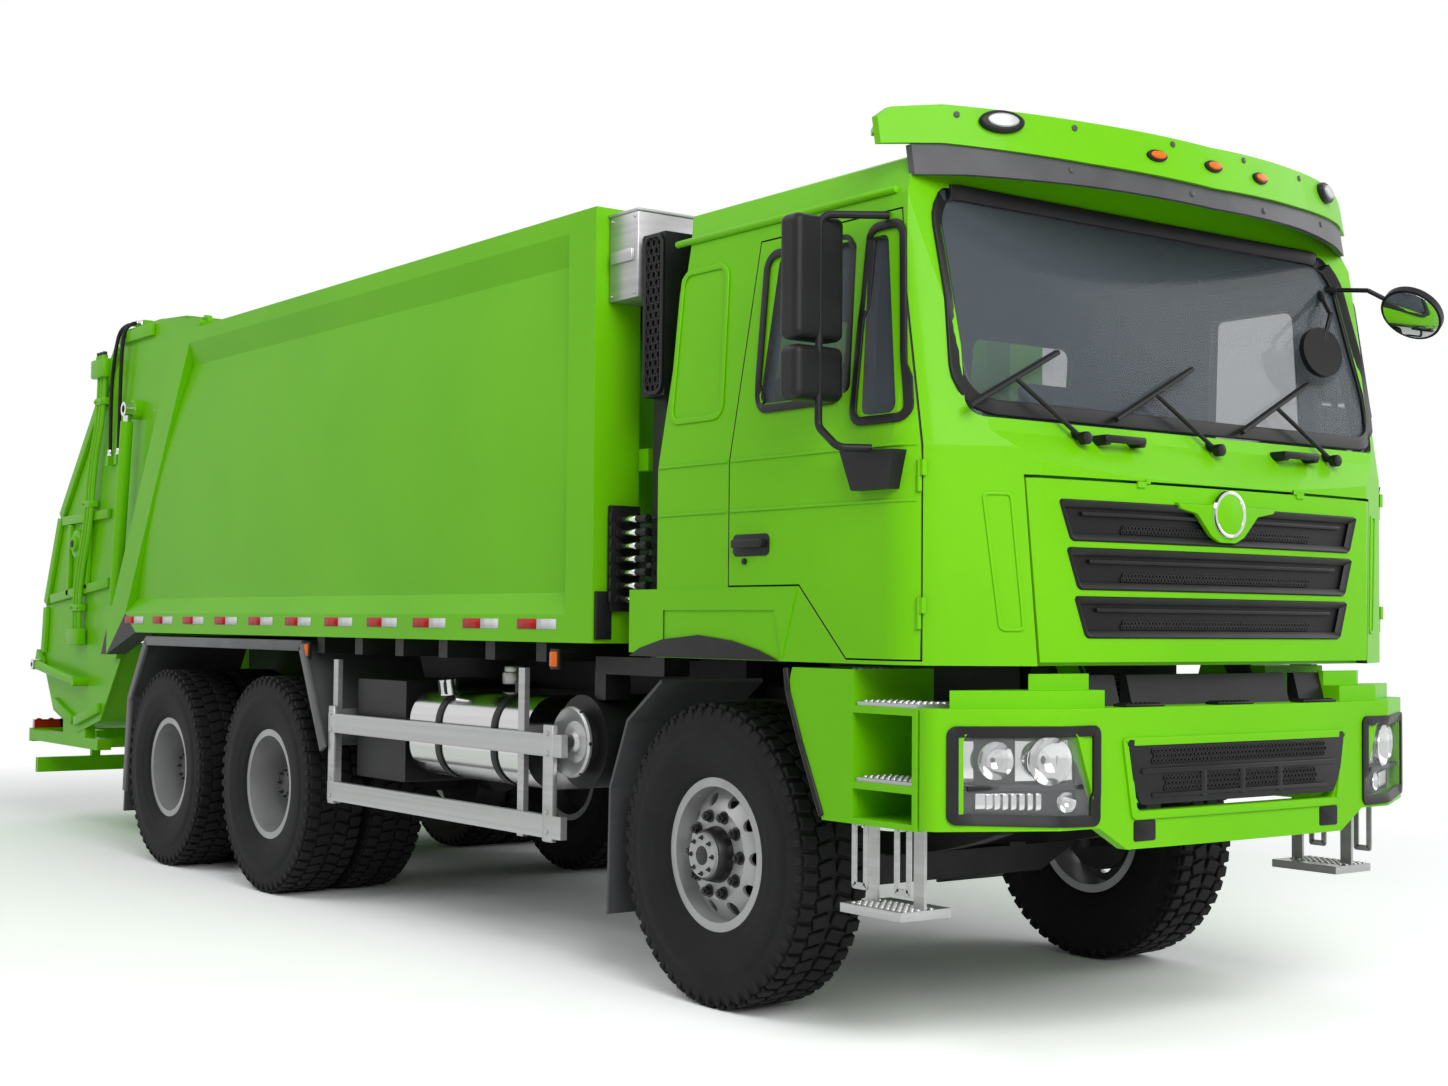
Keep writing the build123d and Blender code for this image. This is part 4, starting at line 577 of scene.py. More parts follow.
for side, word in SIDES:
    bm = bmesh.new()
    nut_ring(bm, side * 1.102, side, 0.1450, 10, 0.0185, 0.020)
    rod(bm, (side * 1.100, 0, 0), (side * 1.158, 0, 0), 0.106, 0.004, 48, 0.092)
    rod(bm, (side * 1.150, 0, 0), (side * 1.171, 0, 0), 0.082, 0.006, 48)
    rod(bm, (side * 1.165, 0, 0), (side * 1.174, 0, 0), 0.036, 0.003, 32)
    nut_ring(bm, side * 1.169, side, 0.066, 8, 0.007, 0.004)
    bmesh.ops.translate(bm, vec=(0, at(0), WHEEL_CENTRE), verts=bm.verts)
    new_piece(f"front_hub_nuts_{word}", bm, "nut_black", f"{word}_front_wheel")
    for y, place in REAR_AXLES:
        bm = bmesh.new()
        nut_ring(bm, side * 0.927, side, 0.1450, 10, 0.0185, 0.020)
        rod(bm, (side * 0.925, 0, 0), (side * 1.095, 0, 0), 0.112, 0.006, 48, 0.098)
        rod(bm, (side * 1.090, 0, 0), (side * 1.118, 0, 0), 0.086, 0.006, 48)
        nut_ring(bm, side * 1.115, side, 0.068, 8, 0.008, 0.006)
        bmesh.ops.translate(bm, vec=(0, at(y), WHEEL_CENTRE), verts=bm.verts)
        new_piece(f"{place}_hub_nuts_{word}", bm, "nut_black", f"{word}_{place}_wheels")
print("wheel nuts on six hubs")

# %% [markdown]
# Rubber seals, trim frames and reflective strips all lie on curved panels. They are
# drawn flat at first, as rings and strips cut into short lengths, so that they can bend.
# %% Flat shapes
def band(outline, width, rounding):
    """A flat ring in the XZ plane, from its outer outline of (x, z) inwards by its width."""
    part = sheet(outline, rounding, 6)
    bmesh.ops.inset_individual(part, faces=list(part.faces), thickness=width, use_even_offset=True)
    bmesh.ops.delete(part, geom=[max(part.faces, key=lambda f: len(f.verts))], context="FACES_ONLY")
    long_edges = [e for e in part.edges if e.calc_length() > max(0.10, 1.5 * width)]
    bmesh.ops.subdivide_edges(part, edges=long_edges, cuts=12, use_grid_fill=True)
    return part


def box_outline(low, high):
    """The four corners (x, z) of a box between two of them."""
    return (low, (high[0], low[1]), high, (low[0], high[1]))


def strip(low, high, cuts, longer_than=None):
    """A flat strip in the XZ plane between two corners (x, z), cut across its longer edges."""
    part = sheet(box_outline(low, high))
    shortest = 0.6 * (high[0] - low[0]) if longer_than is None else longer_than
    bmesh.ops.subdivide_edges(part, edges=[e for e in part.edges if e.calc_length() > shortest],
                              cuts=cuts, use_grid_fill=True)
    return part


# %% [markdown]
# Each flat shape is dropped onto its panel by rays, so it follows the panel's curve
# everywhere, which a straight bar would not. A solidify modifier then gives it its
# thickness.
# %% Draping helpers
def drape(part, surface, direction, lift):
    """Drops a shape along a direction onto a surface and leaves it lift above it.

    A point over an opening takes the depth of the nearest point that landed.
    """
    direction = Vector(direction)
    landed, over_opening = [], []
    for vert in part.verts:
        flat = vert.co - direction * vert.co.dot(direction)
        hit = surface.ray_cast(flat - direction * 8.0, direction, 16.0)[0]
        if hit is None:
            over_opening.append((vert, flat))
        else:
            landed.append((flat, hit.dot(direction)))
            vert.co = hit - direction * lift
    for vert, flat in over_opening:
        depth = min(landed, key=lambda point: (point[0] - flat).length_squared)[1]
        vert.co = flat + direction * (depth - lift)
    if over_opening:
        print("draped points over an opening:", len(over_opening), "of", len(part.verts))
    for face in part.faces:
        face.normal_update()
        if face.normal.dot(direction) > 0:
            face.normal_flip()
    return part


def draped_piece(name, part, finish_name, body, thick, soft=0.0):
    """A piece from a draped sheet, thickened outwards and rounded by modifiers."""
    mesh = bpy.data.meshes.new(name)
    for face in part.faces:
        face.smooth = True
    part.to_mesh(mesh)
    part.free()
    piece = place_mesh(name, mesh, finish_name, body)
    wall = piece.modifiers.new("wall", "SOLIDIFY")
    wall.thickness, wall.offset = thick, 1.0
    if soft:
        edge = piece.modifiers.new("edge", "BEVEL")
        edge.width, edge.segments, edge.limit_method = soft, 3, "ANGLE"
        edge.angle_limit = math.radians(50)
    return piece


SIDEWAYS = Matrix(((0, 1, 0, 0), (1, 0, 0, 0), (0, 0, 1, 0), (0, 0, 0, 1)))
THIN = 0.0005


def onto_front(part, surface, lift=0.001):
    """Drapes a shape drawn as (x, z) on the truck's front."""
    return drape(part, surface, (0, 1, 0), lift)


def onto_side(part, surface, side, lift=THIN):
    """Drapes a shape drawn as (y from the front axle, z) on the truck's side."""
    bmesh.ops.transform(part, matrix=SIDEWAYS, verts=part.verts)
    bmesh.ops.translate(part, vec=(side * 2, FRONT_AXLE, 0), verts=part.verts)
    return drape(part, surface, (-side, 0, 0), lift)


# %% [markdown]
# The windscreen and the door windows sit in thick rubber seals. The outline of each
# follows the edge of its opening, a little larger, with generous corner arcs.
# %% Window seals
front_surface = surface_of("cab_shell", "cab_glass")
screen_outline = ((-1.118, 2.092), (1.118, 2.092), (1.088, 2.885), (-1.088, 2.885))
draped_piece("windscreen_seal", onto_front(band(screen_outline, 0.052, 0.16), front_surface),
             "seal_rubber", "cab", 0.013, 0.005)
quarter_outline = ((-1.195, 2.065), (-0.905, 2.065), (-0.925, 2.745), (-1.120, 2.745))
for side, word in SIDES:
    door_surface = surface_of(f"door_{word}", f"door_glass_{word}")
    for label, outline, rounding in (
            ("main_window_seal", box_outline((-0.870, 2.150), (-0.375, 2.735)), 0.07),
            ("quarter_window_seal", quarter_outline, 0.06)):
        part = onto_side(band(outline, 0.030, rounding), door_surface, side, 0.001)
        draped_piece(f"{label}_{word}", part, "seal_rubber", f"{word}_door", 0.010, 0.004)
print("five seals")

# %% [markdown]
# The grille flap has three slots. Each gets a raised frame, a ledge and a strip of
# honeycomb mesh. The mesh is one hexagonal ring, copied row by row and draped on the
# slot's curved back.
# %% Honeycomb
def honeycomb(low, high, pitch, wall):
    """Rows of hexagonal rings in the XZ plane that fill the space between two corners."""
    part = bmesh.new()
    rise = pitch * 0.866
    rows = max(1, int((high[1] - low[1]) / rise))
    columns = int((high[0] - low[0]) / pitch)
    for row in range(rows):
        for column in range(columns):
            cell = bmesh.new()
            bmesh.ops.create_circle(cell, cap_ends=True, segments=6, radius=pitch * 0.56)
            bmesh.ops.inset_individual(cell, faces=list(cell.faces), thickness=wall,
                                       use_even_offset=True)
            middle = max(cell.faces, key=lambda f: min(e.calc_length() for e in f.edges))
            bmesh.ops.delete(cell, geom=[middle], context="FACES_ONLY")
            x = low[0] + (column + 0.5 + 0.5 * (row % 2)) * pitch
            z = low[1] + (row + 0.5) * rise
            join(part, cell, Matrix.Translation((x, 0, z))
                 @ Matrix.Rotation(math.radians(90), 4, "X")
                 @ Matrix.Rotation(math.radians(30), 4, "Z"))
    return part


flap_surface = surface_of("grille_flap", "grille_inserts")
SLOTS = ((0.785, 1.821, 0.730, 1.696), (0.752, 1.665, 0.698, 1.537), (0.7185, 1.506, 0.665, 1.379))
for number, (half_top, top, half_low, low) in enumerate(SLOTS, 1):
    outline = ((-half_low - 0.006, low - 0.006), (half_low + 0.006, low - 0.006),
               (half_top + 0.003, top + 0.006), (-half_top - 0.003, top + 0.006))
    ledge = strip((-half_low + 0.05, top - 0.046), (half_low - 0.05, top - 0.032), 24)
    mesh_part = honeycomb((-0.50, low + 0.024), (0.50, low + 0.066), 0.0165, 0.0035)
    for label, part, thick, soft in (("frame", band(outline, 0.020, 0.018), 0.010, 0.004),
                                     ("ledge", ledge, 0.014, 0.004),
                                     ("mesh", mesh_part, 0.004, 0.0)):
        draped_piece(f"slot_{label}_{number}", onto_front(part, flap_surface), "black_plastic",
                     "flap", thick, soft)
print("three slots dressed")

# %% [markdown]
# Above the top slot the panel dips in a shallow V, and a plain round boss sits there in
# a bright ring. It carries no sign.
# %% Plain boss on the flap
BOSS_HEIGHT = 1.803
v_outline = ((-0.26, 1.835), (0.26, 1.835), (0.245, 1.815), (0.16, 1.80), (0.085, 1.725),
             (0.04, 1.705), (-0.04, 1.705), (-0.085, 1.725), (-0.16, 1.80), (-0.245, 1.815))
small_parts_piece(
    "v_panel", "green_paint", "flap",
    (plate(v_outline, 0.020, 0.004, 0.002), (0, at(-1.466), 0)),
    (drum(0.074, 0.010, 0.003, 48), aim((0, at(-1.470), BOSS_HEIGHT), (0, -1, 0))))
ring = lathe([(0.0, 0.066), (0.010, 0.070), (0.012, 0.075), (0.010, 0.081), (0.0, 0.084)], 64,
             closed=True)
bmesh.ops.transform(ring, matrix=Matrix.Translation((0, at(-1.467), BOSS_HEIGHT))
                    @ Matrix.Rotation(math.radians(-90), 4, "Z"), verts=ring.verts)
new_piece("boss_ring", ring, "rod_chrome", "flap")
print("boss done")

# %% [markdown]
# Pressed panels are stiffened by beads and shallow recesses. Thin raised rings and
# strips in body colour, with soft edges, read as those pressings.
# %% Pressings on the cab
shell = surface_of("cab_shell")
corner_outline = ((-1.038, 1.842), (-0.945, 1.842), (-0.905, 1.395), (-0.985, 1.395))
panel_outline = ((-0.190, 2.150), (0.150, 2.150), (0.140, 2.735), (-0.160, 2.735))
arch_outline = ((0.374, 1.286), (0.30, 1.318), (0.15, 1.352), (-0.078, 1.370), (-0.28, 1.352),
                (-0.435, 1.321), (-0.55, 1.286))
for side, word in SIDES:
    corner = band([(side * x, z) for x, z in corner_outline], 0.010, 0.020)
    draped_piece(f"corner_pressing_{word}", onto_front(corner, shell, THIN), "green_paint", "cab",
                 0.005, 0.002)
    draped_piece(f"side_pressing_{word}", onto_side(band(panel_outline, 0.022, 0.060), shell, side),
                 "green_paint", "cab", 0.007, 0.003)
    door = surface_of(f"door_{word}")
    for line, height in (("waist", 1.993), ("belt", 1.813)):
        for label, start, end, cuts, surface, body in (
                ("rear", -0.235, 0.190, 8, shell, "cab"),
                ("door", -1.205, -0.258, 16, door, f"{word}_door")):
            bead = strip((start, height - 0.005), (end, height + 0.005), cuts)
            draped_piece(f"{line}_bead_{label}_{word}", onto_side(bead, surface, side),
                         "green_paint", body, 0.005, 0.002)
    bm = bmesh.new()
    rod(bm, (side * 1.174, at(-1.060), 2.846), (side * 1.174, at(0.190), 2.846), 0.013, 0.004)
    new_piece(f"gutter_{word}", bm, "green_paint", "cab")
    small_parts_piece(
        f"arch_liner_{word}", "black_plastic", "cab",
        (plate(arch_outline, 0.006, 0, 0.0015), Matrix.Translation((side * 1.249, at(0), 0))
         @ SIDEWAYS @ Matrix.Diagonal((1, side, 1, 1))))
print("pressings done")

# %% [markdown]
# Door handles are black plastic grips over a recess plate, with a lock barrel beside
# them. The mirror glass lies on the rear face of its housing.
# %% Door handles and mirror glass
for side, word in SIDES:
    bm = bmesh.new()
    turn = Matrix.Diagonal((side, 1, 1, 1))
    recess = plate(box_outline((-0.485, 1.650), (-0.275, 1.728)), 0.004, 0.022, 0.001)
    join(bm, recess, turn @ Matrix.Translation((1.2445, at(0), 0)) @ SIDEWAYS)
    grip = slab((0.020, 0.175, 0.030), 0.007, 3)
    join(bm, grip, turn @ Matrix.Translation((1.268, at(-0.385), 1.694)))
    for y in (-0.458, -0.312):
        join(bm, slab((0.024, 0.026, 0.024), 0.005),
             turn @ Matrix.Translation((1.256, at(y), 1.694)))
    join(bm, drum(0.011, 0.010, 0.002, 24), turn @ aim((1.250, at(-0.345), 1.632), (1, 0, 0)))
    new_piece(f"door_handle_{word}", bm, "black_plastic", f"{word}_door")
    bm = bmesh.new()
    for z, height in ((2.553, 0.375), (2.237, 0.145)):
        face = plate(box_outline((-0.085, -height / 2), (0.085, height / 2)), 0.003, 0.022)
        join(bm, face, (side * 1.370, at(-0.8125), z))
    new_piece(f"mirror_glass_{word}", bm, "mirror_face", f"{word}_door")
print("door handles and mirrors done")

# %% [markdown]
# Two round mirrors at the windscreen's left corner show the ground beside and before the
# cab. Their arms are bolted to the cab by one small foot, which stands on the nearest
# point of the cab's skin.
# %% Kerb mirrors
bm = bmesh.new()
for (x, y, z), facing, radius in (((1.172, -1.400, 2.631), (-1, 0, -1), 0.110),
                                  ((0.740, -1.300, 2.450), (2, 12, -2), 0.086)):
    out = Vector(facing).normalized()
    join(bm, drum(radius, 0.003, 0.001, 48), aim(Vector((x, at(y), z)) + out * 0.0130, out))
new_piece("kerb_mirror_glass", bm, "mirror_face", "cab")
arm_root = Vector((1.010, at(-1.085), 2.745))
skin_point, skin_normal = shell.find_nearest(arm_root)[:2]
bm = bmesh.new()
rod(bm, skin_point - skin_normal * 0.003, skin_point + skin_normal * 0.014, 0.030, 0.003, 24)
rod(bm, skin_point + skin_normal * 0.010, skin_point + skin_normal * 0.026, 0.019, 0.004, 24)
for elbow in (Vector((1.075, at(-1.270), 2.725)), Vector((0.800, at(-1.300), 2.600))):
    rod(bm, arm_root, arm_root.lerp(elbow, 0.40), 0.012, 0.002, 16)
new_piece("kerb_mirror_feet", bm, "black_plastic", "cab")
print("kerb mirror foot on the cab at", [round(value, 3) for value in skin_point])

# %% [markdown]
# Over the windscreen the visor carries two clear lamps in black ovals, three amber
# marker lamps and rows of small screws. Each is seated by a ray, which gives both the
# place and the direction of the curved panel there.
# %% Visor lamps and screws
visor_surface = surface_of("sun_visor", "visor_lip")


def seat(surface, x, z):
    """The first point of a surface at (x, z), seen from the front, and the way it faces."""
    return surface.ray_cast(Vector((x, -9, z)), Vector((0, 1, 0)), 12)[:2]


def oval(width, height, depth, soft):
    """A soft-edged oval button along Z."""
    part = drum(0.5, depth, 0, 40)
    bmesh.ops.scale(part, vec=(width, height, 1), verts=part.verts)
    soften(part, rims(part), soft, 3)
    return part


housings, clear, amber, screws = bmesh.new(), bmesh.new(), bmesh.new(), bmesh.new()
for x in (-0.86, 0.86):
    hit, out = seat(visor_surface, x, 3.082)
    join(housings, oval(0.160, 0.078, 0.030, 0.010), aim(hit + out * 0.008, out))
    join(clear, oval(0.112, 0.050, 0.016, 0.006), aim(hit + out * 0.022, out))
for x in (-0.275, 0.0, 0.275):
    hit, out = seat(visor_surface, x, 3.028)
    join(housings, oval(0.088, 0.042, 0.016, 0.005), aim(hit + out * 0.004, out))
    join(amber, oval(0.066, 0.028, 0.014, 0.005), aim(hit + out * 0.012, out))
for x, z in ((-0.60, 3.088), (-0.19, 3.082), (0.19, 3.082), (0.60, 3.088), (-1.0, 3.10),
             (1.0, 3.10), (-0.62, 2.942), (-0.11, 2.918), (0.30, 2.914), (0.80, 2.95)):
    hit, out = seat(visor_surface, x, z)
    join(screws, drum(0.011, 0.006, 0.002, 16), aim(hit + out * 0.002, out))
new_piece("visor_lamp_housings", housings, "black_plastic", "cab")
new_piece("visor_lamps_clear", clear, "aluminium", "cab")
new_piece("visor_lamps_amber", amber, "amber_lamp", "cab")
new_piece("visor_screws", screws, "mudguard_grey", "cab")
print("visor dressed")

# %% [markdown]
# A headlamp's parts sit at some depth behind one slanted face. So a helper finds that face
# by a ray and gives the place of a part behind it. Reflectors are bowls from the lathe.
# %% Headlamp helpers
bumper_surface = surface_of("bumper", "headlamps")
lamp_surface = surface_of("headlamps")


def lamp_frame(side, x, z, depth):
    """The matrix of a lamp part seated on the lamp's face at x, z, sunk by depth."""
    out = Vector((side * 0.36, -0.93, 0))
    return aim(seat(lamp_surface, side * x, z)[0] - out * depth, out)


def lamp_sheet(side):
    """A flat sheet as large as one lamp."""
    near, far = sorted((side * 0.715, side * 1.165))
    return strip((near, 0.800), (far, 1.072), 20)


def bowl(radius, depth):
    """A lamp reflector: a bowl that opens along Z, with a thin wall."""
    inner = [(depth * (i / 8) ** 2, radius * i / 8) for i in range(9)]
    outer = [(u - 0.003, r + 0.002) for u, r in reversed(inner[1:])] + [(-0.003, 0.0)]
    part = lathe(inner + outer, 40)
    bmesh.ops.transform(part, matrix=Matrix.Rotation(math.radians(-90), 4, "Y"), verts=part.verts)
    return part


# %% [markdown]
# Each headlamp is a black bezel round a dark housing. In it are a bright bowl, a round
# projector and, in a lower row, an indicator and a small fog lamp, all behind a clear
# cover that follows the corner of the bumper. Both covers are one piece, since they take
# the place of one node.
# %% Headlamps
UPPER_ROW, LOWER_ROW = 0.985, 0.852
bezel_outline = ((1.190, 1.096), (0.690, 1.096), (0.690, 0.772), (0.76, 0.772), (1.190, 0.786))
covers = bmesh.new()
for side, word in SIDES:
    bezel = band([(side * x, z) for x, z in bezel_outline], 0.034, 0.030)
    draped_piece(f"headlamp_bezel_{word}", onto_front(bezel, bumper_surface), "black_plastic",
                 "chassis", 0.008, 0.003)
    draped_piece(f"headlamp_housing_{word}", onto_front(lamp_sheet(side), lamp_surface, -0.060),
                 "grille_dark", "chassis", 0.004)
    upper_ribs = [(slab((0.008, 0.136, 0.024), 0.003), 0.800 + 0.010 * i, UPPER_ROW, 0.046)
                  for i in range(5)]
    lower_ribs = [(slab((0.020, 0.058, 0.010), 0.004), 0.905 + 0.024 * i, LOWER_ROW, 0.030)
                  for i in range(7)]
    bars = [(slab(size, 0.003), x, z, 0.030) for size, x, z in (
        ((0.045, 0.250, 0.020), 0.745, 0.935), ((0.045, 0.012, 0.020), 0.800, 0.905),
        ((0.012, 0.012, 0.020), 0.96, 0.905), ((0.012, 0.012, 0.020), 1.115, 0.905))]
    for label, finish_name, parts in (
            ("reflectors", "rod_chrome",
             [(slab((0.200, 0.140, 0.006), 0.003), 0.880, UPPER_ROW, 0.056),
              (slab((0.130, 0.140, 0.006), 0.003), 1.060, UPPER_ROW, 0.056),
              (slab((0.230, 0.058, 0.006), 0.002), 0.985, LOWER_ROW, 0.046),
              *upper_ribs,
              (bowl(0.076, 0.046), 0.880, UPPER_ROW, 0.052),
              (bowl(0.060, 0.040), 1.035, UPPER_ROW, 0.050),
              *lower_ribs,
              (bowl(0.032, 0.020), 0.815, LOWER_ROW, 0.030)]),
            ("lenses", "lamp_glass",
             [(oval(0.066, 0.066, 0.024, 0.010), 1.035, UPPER_ROW, 0.026),
              (oval(0.030, 0.030, 0.016, 0.006), 0.880, UPPER_ROW, 0.034),
              (oval(0.034, 0.034, 0.016, 0.006), 0.815, LOWER_ROW, 0.020)]),
            ("bars", "black_plastic",
             [*bars, (slab((0.40, 0.016, 0.030), 0.004), 0.945, 0.900, 0.030)])):
        small_parts_piece(f"headlamp_{label}_{word}", finish_name, "chassis",
                          *((part, lamp_frame(side, x, z, depth)) for part, x, z, depth in parts))
    join(covers, lamp_sheet(side))
covers = draped_piece("headlamp_covers", onto_front(covers, lamp_surface, -0.004), "lamp_glass",
                      "chassis", 0.003)
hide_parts("headlamps")
print("headlamps done")

# %% [markdown]
# The middle of the bumper holds a black grille panel with two honeycomb strips, framed
# by a lip in body colour. Two small tow covers sit below it, and three rubber pads lie on
# the ledge above, where a foot goes to clean the windscreen. The radiator shows behind.
# %% Bumper grille, tow openings and pads
bumper_only = surface_of("bumper")
lip_outline = ((-0.592, 1.052), (0.592, 1.052), (0.547, 0.786), (-0.547, 0.786))
grille_outline = ((-0.572, 1.048), (0.572, 1.048), (0.548, 0.905), (0.508, 0.832),
                  (-0.508, 0.832), (-0.548, 0.905))
draped_piece("bumper_lip", onto_front(band(lip_outline, 0.026, 0.020), bumper_only),
             "green_paint", "chassis", 0.008, 0.003)
grille_face = at(-1.521)
small_parts_piece(
    "bumper_grille", "black_plastic", "chassis",
    (plate(grille_outline, 0.020, 0.015, 0.003), (0, grille_face, 0)),
    (slab((1.02, 0.016, 0.020), 0.006), (0, grille_face, 0.942)),
    (slab((0.92, 0.014, 0.014), 0.005), (0, grille_face, 0.862)),
    *((slab((0.030, 0.012, 0.10), 0.005), (x, grille_face, 0.900)) for x in (-0.2, 0.0, 0.2)))
mesh_part = honeycomb((-0.46, 0.965), (0.46, 1.020), 0.019, 0.004)
join(mesh_part, honeycomb((-0.40, 0.874), (0.40, 0.930), 0.019, 0.004))
bmesh.ops.translate(mesh_part, vec=(0, at(-1.5215), 0), verts=mesh_part.verts)
draped_piece("bumper_mesh", mesh_part, "grille_dark", "chassis", 0.004)
small_parts_piece("tow_covers", "grille_dark", "chassis", *(
    (plate(box_outline((-0.052, -0.034), (0.052, 0.034)), 0.010, 0.008, 0.002),
     (x, at(-1.5165), 0.748)) for x in (-0.483, 0.483)))
bm = bmesh.new()
for x in (-0.46, 0.0, 0.46):
    join(bm, slab((0.190, 0.060, 0.010), 0.004), (x, at(-1.470), 1.155))
    for i in range(8):
        join(bm, slab((0.008, 0.050, 0.004), 0.001, 1), (x - 0.077 + 0.022 * i, at(-1.470), 1.161))
new_piece("bumper_pads", bm, "seal_rubber", "chassis")
small_parts_piece(
    "radiator_front", "grille_dark", "chassis",
    (slab((1.16, 0.030, 0.200), 0.004), (0, at(-1.225), 1.148)),
    *((slab((1.12, 0.016, 0.008), 0.003, 1), (0, at(-1.246), 1.070 + 0.020 * i)) for i in range(9)))
print("bumper dressed")

# %% [markdown]
# The steps are punched aluminium: each tread has rows of raised round holes for grip, and
# the lowest step hangs on two plates with long holes.
# %% Step treads and hangers
def raised_ring(radius, height):
    """A small punched collar round a hole, along Z."""
    part = lathe([(0.0, radius * 0.62), (height, radius * 0.70), (height, radius * 0.88),
                  (0.0, radius)], 10, closed=True)
    bmesh.ops.transform(part, matrix=Matrix.Rotation(math.radians(-90), 4, "Y"), verts=part.verts)
    return part


GRIP_PITCH = 0.028
ABOVE_THE_TREADS = (1.30, 1.00, 0.62)
step_surface = surface_of("steps", "step_wells")
for side, word in SIDES:
    bm = bmesh.new()
    count = 0
    for ceiling in ABOVE_THE_TREADS:
        for i in range(5):
            for j in range(12):
                x, y = side * (1.090 + GRIP_PITCH * i), at(-1.205 + GRIP_PITCH * j)
                start = Vector((x, y, ceiling))
                hit, out = step_surface.ray_cast(start, Vector((0, 0, -1)), 0.24)[:2]
                if hit is not None and out.z > 0.9:
                    place = aim(hit + Vector((0, 0, THIN)), (0, 0, 1))
                    join(bm, raised_ring(0.010, 0.004), place)
                    count += 1
    for y in (-1.145, -0.935):
        hanger = band(box_outline((y - 0.040, 0.545), (y + 0.040, 0.775)), 0.022, 0.012)
        bmesh.ops.transform(hanger, matrix=SIDEWAYS, verts=hanger.verts)
        bmesh.ops.solidify(hanger, geom=list(hanger.faces), thickness=0.006)
        join(bm, hanger, (side * 1.205, at(0), 0))
    new_piece(f"step_grips_{word}", bm, "aluminium", "chassis")
    print("grip rings", word, count)

# %% [markdown]
# Retroreflective tape runs along the body's lower edge in pairs of red and white. Each
# piece is draped on the flared panel.
# %% Reflective tape
BODY_REAR = 5.72
body_surface = surface_of("refuse_body")
for side, word in SIDES:
    for colour, shift in (("white_tape", 0.0), ("red_tape", 0.155)):
        tape = bmesh.new()
        for i in range(11):
            y = 0.905 + 0.462 * i + shift
            if y < BODY_REAR:
                join(tape, onto_side(strip((y, 1.383), (y + 0.150, 1.425), 2), body_surface, side))
        draped_piece(f"{colour}_{word}", tape, colour, "chassis", 0.002)
print("tape laid on both sides")

# %% [markdown]
# Between the cab and the body stand a sheet-metal control box, the valve bank with its
# levers, a green cross bar, a small junction box and the air intake with its lattice
# cover.
# %% Control box, valve levers and intake lattice
small_parts_piece(
    "control_box", "aluminium", "chassis",
    (slab((0.390, 0.200, 0.340), 0.006), (-0.995, at(0.535), 2.850)),
    (slab((0.030, 0.150, 0.050), 0.004), (-1.188, at(0.535), 2.850)),
    (slab((0.400, 0.210, 0.012), 0.003), (-0.995, at(0.535), 3.024)),
    *((drum(0.007, 0.006, 0.002, 6), aim((-1.192, at(y), z), (-1, 0, 0)))
      for y in (0.455, 0.615) for z in (2.700, 3.000)))
levers, chrome = bmesh.new(), bmesh.new()
for row in range(7):
    z = 1.505 + 0.052 * row
    for x, reach in ((-1.150, 0.0), (-1.085, 0.02)):
        rod(levers, (x, at(0.44 + reach), z), (x, at(0.630), z), 0.0125, 0.002)
        rod(levers, (x, at(0.595), z), (x, at(0.632), z), 0.021, 0.004, 6)
        rod(levers, (x, at(0.40 + reach), z), (x, at(0.45 + reach), z), 0.018, 0.006)
        rod(chrome, (x, at(0.475 + reach), z), (x, at(0.560), z), 0.0145, 0.002)
    rod(levers, (-1.185, at(0.612), z - 0.012), (-1.185, at(0.612), z + 0.030), 0.009, 0.003)
join(levers, slab((0.140, 0.030, 0.42), 0.006), (-1.115, at(0.622), 1.665))
new_piece("valve_levers", levers, "black_plastic", "chassis")
new_piece("valve_sleeves", chrome, "rod_chrome", "chassis")
small_parts_piece("cross_bar", "green_paint", "chassis",
                  (slab((2.10, 0.070, 0.090), 0.006), (0, at(0.590), 2.060)))
small_parts_piece(
    "junction_box", "black_plastic", "chassis",
    (slab((0.075, 0.018, 0.190), 0.004), (-1.205, at(0.631), 1.440)),
    *((drum(0.007, 0.004, 0.001, 6), aim((-1.205, at(0.620), z), (0, -1, 0)))
      for z in (1.365, 1.515)))
intake = surface_of("air_intake")
lattice = honeycomb((0.287, 2.30), (0.400, 2.90), 0.036, 0.005)
draped_piece("intake_lattice", onto_side(lattice, intake, -1), "seal_rubber", "chassis", 0.008)
frame_part = band(box_outline((0.279, 2.288), (0.408, 2.912)), 0.016, 0.045)
draped_piece("intake_frame", onto_side(frame_part, intake, -1), "black_plastic", "chassis",
             0.012, 0.004)
print("space between cab and body filled")

# %% [markdown]
# Along the chassis the fuel tank is held by two black straps and closed by a cap, and the
# air drier's drum has a pale dished cover held by six clips.
# %% Tank straps, cap and drier cover
tank = surface_of("fuel_tank")
for number, y in enumerate((1.560, 2.060), 1):
    strap = strip((y - 0.024, 0.700), (y + 0.024, 1.152), 40, 0.2)
    draped_piece(f"tank_strap_{number}", onto_side(strap, tank, -1), "seal_rubber", "chassis",
                 0.006, 0.002)
bm = bmesh.new()
rod(bm, (-0.880, at(1.860), 1.130), (-0.880, at(1.860), 1.185), 0.052, 0.005, 32)
rod(bm, (-0.880, at(1.860), 1.180), (-0.880, at(1.860), 1.212), 0.044, 0.006, 12)
new_piece("tank_cap", bm, "aluminium", "chassis")
DRIER_Y, DRIER_Z = at(0.895), 0.928
cover = lathe([(0.0, 0.0), (0.004, 0.030), (-0.010, 0.042), (-0.016, 0.085), (0.006, 0.128),
               (0.012, 0.136), (0.004, 0.144), (-0.006, 0.144), (-0.024, 0.085), (-0.020, 0.0)], 48)
bmesh.ops.transform(cover, matrix=Matrix.Translation((-1.176, DRIER_Y, DRIER_Z))
                    @ Matrix.Diagonal((-1, 1, 1, 1)), verts=cover.verts)
new_piece("drier_cover", cover, "aluminium", "chassis")
bm = bmesh.new()
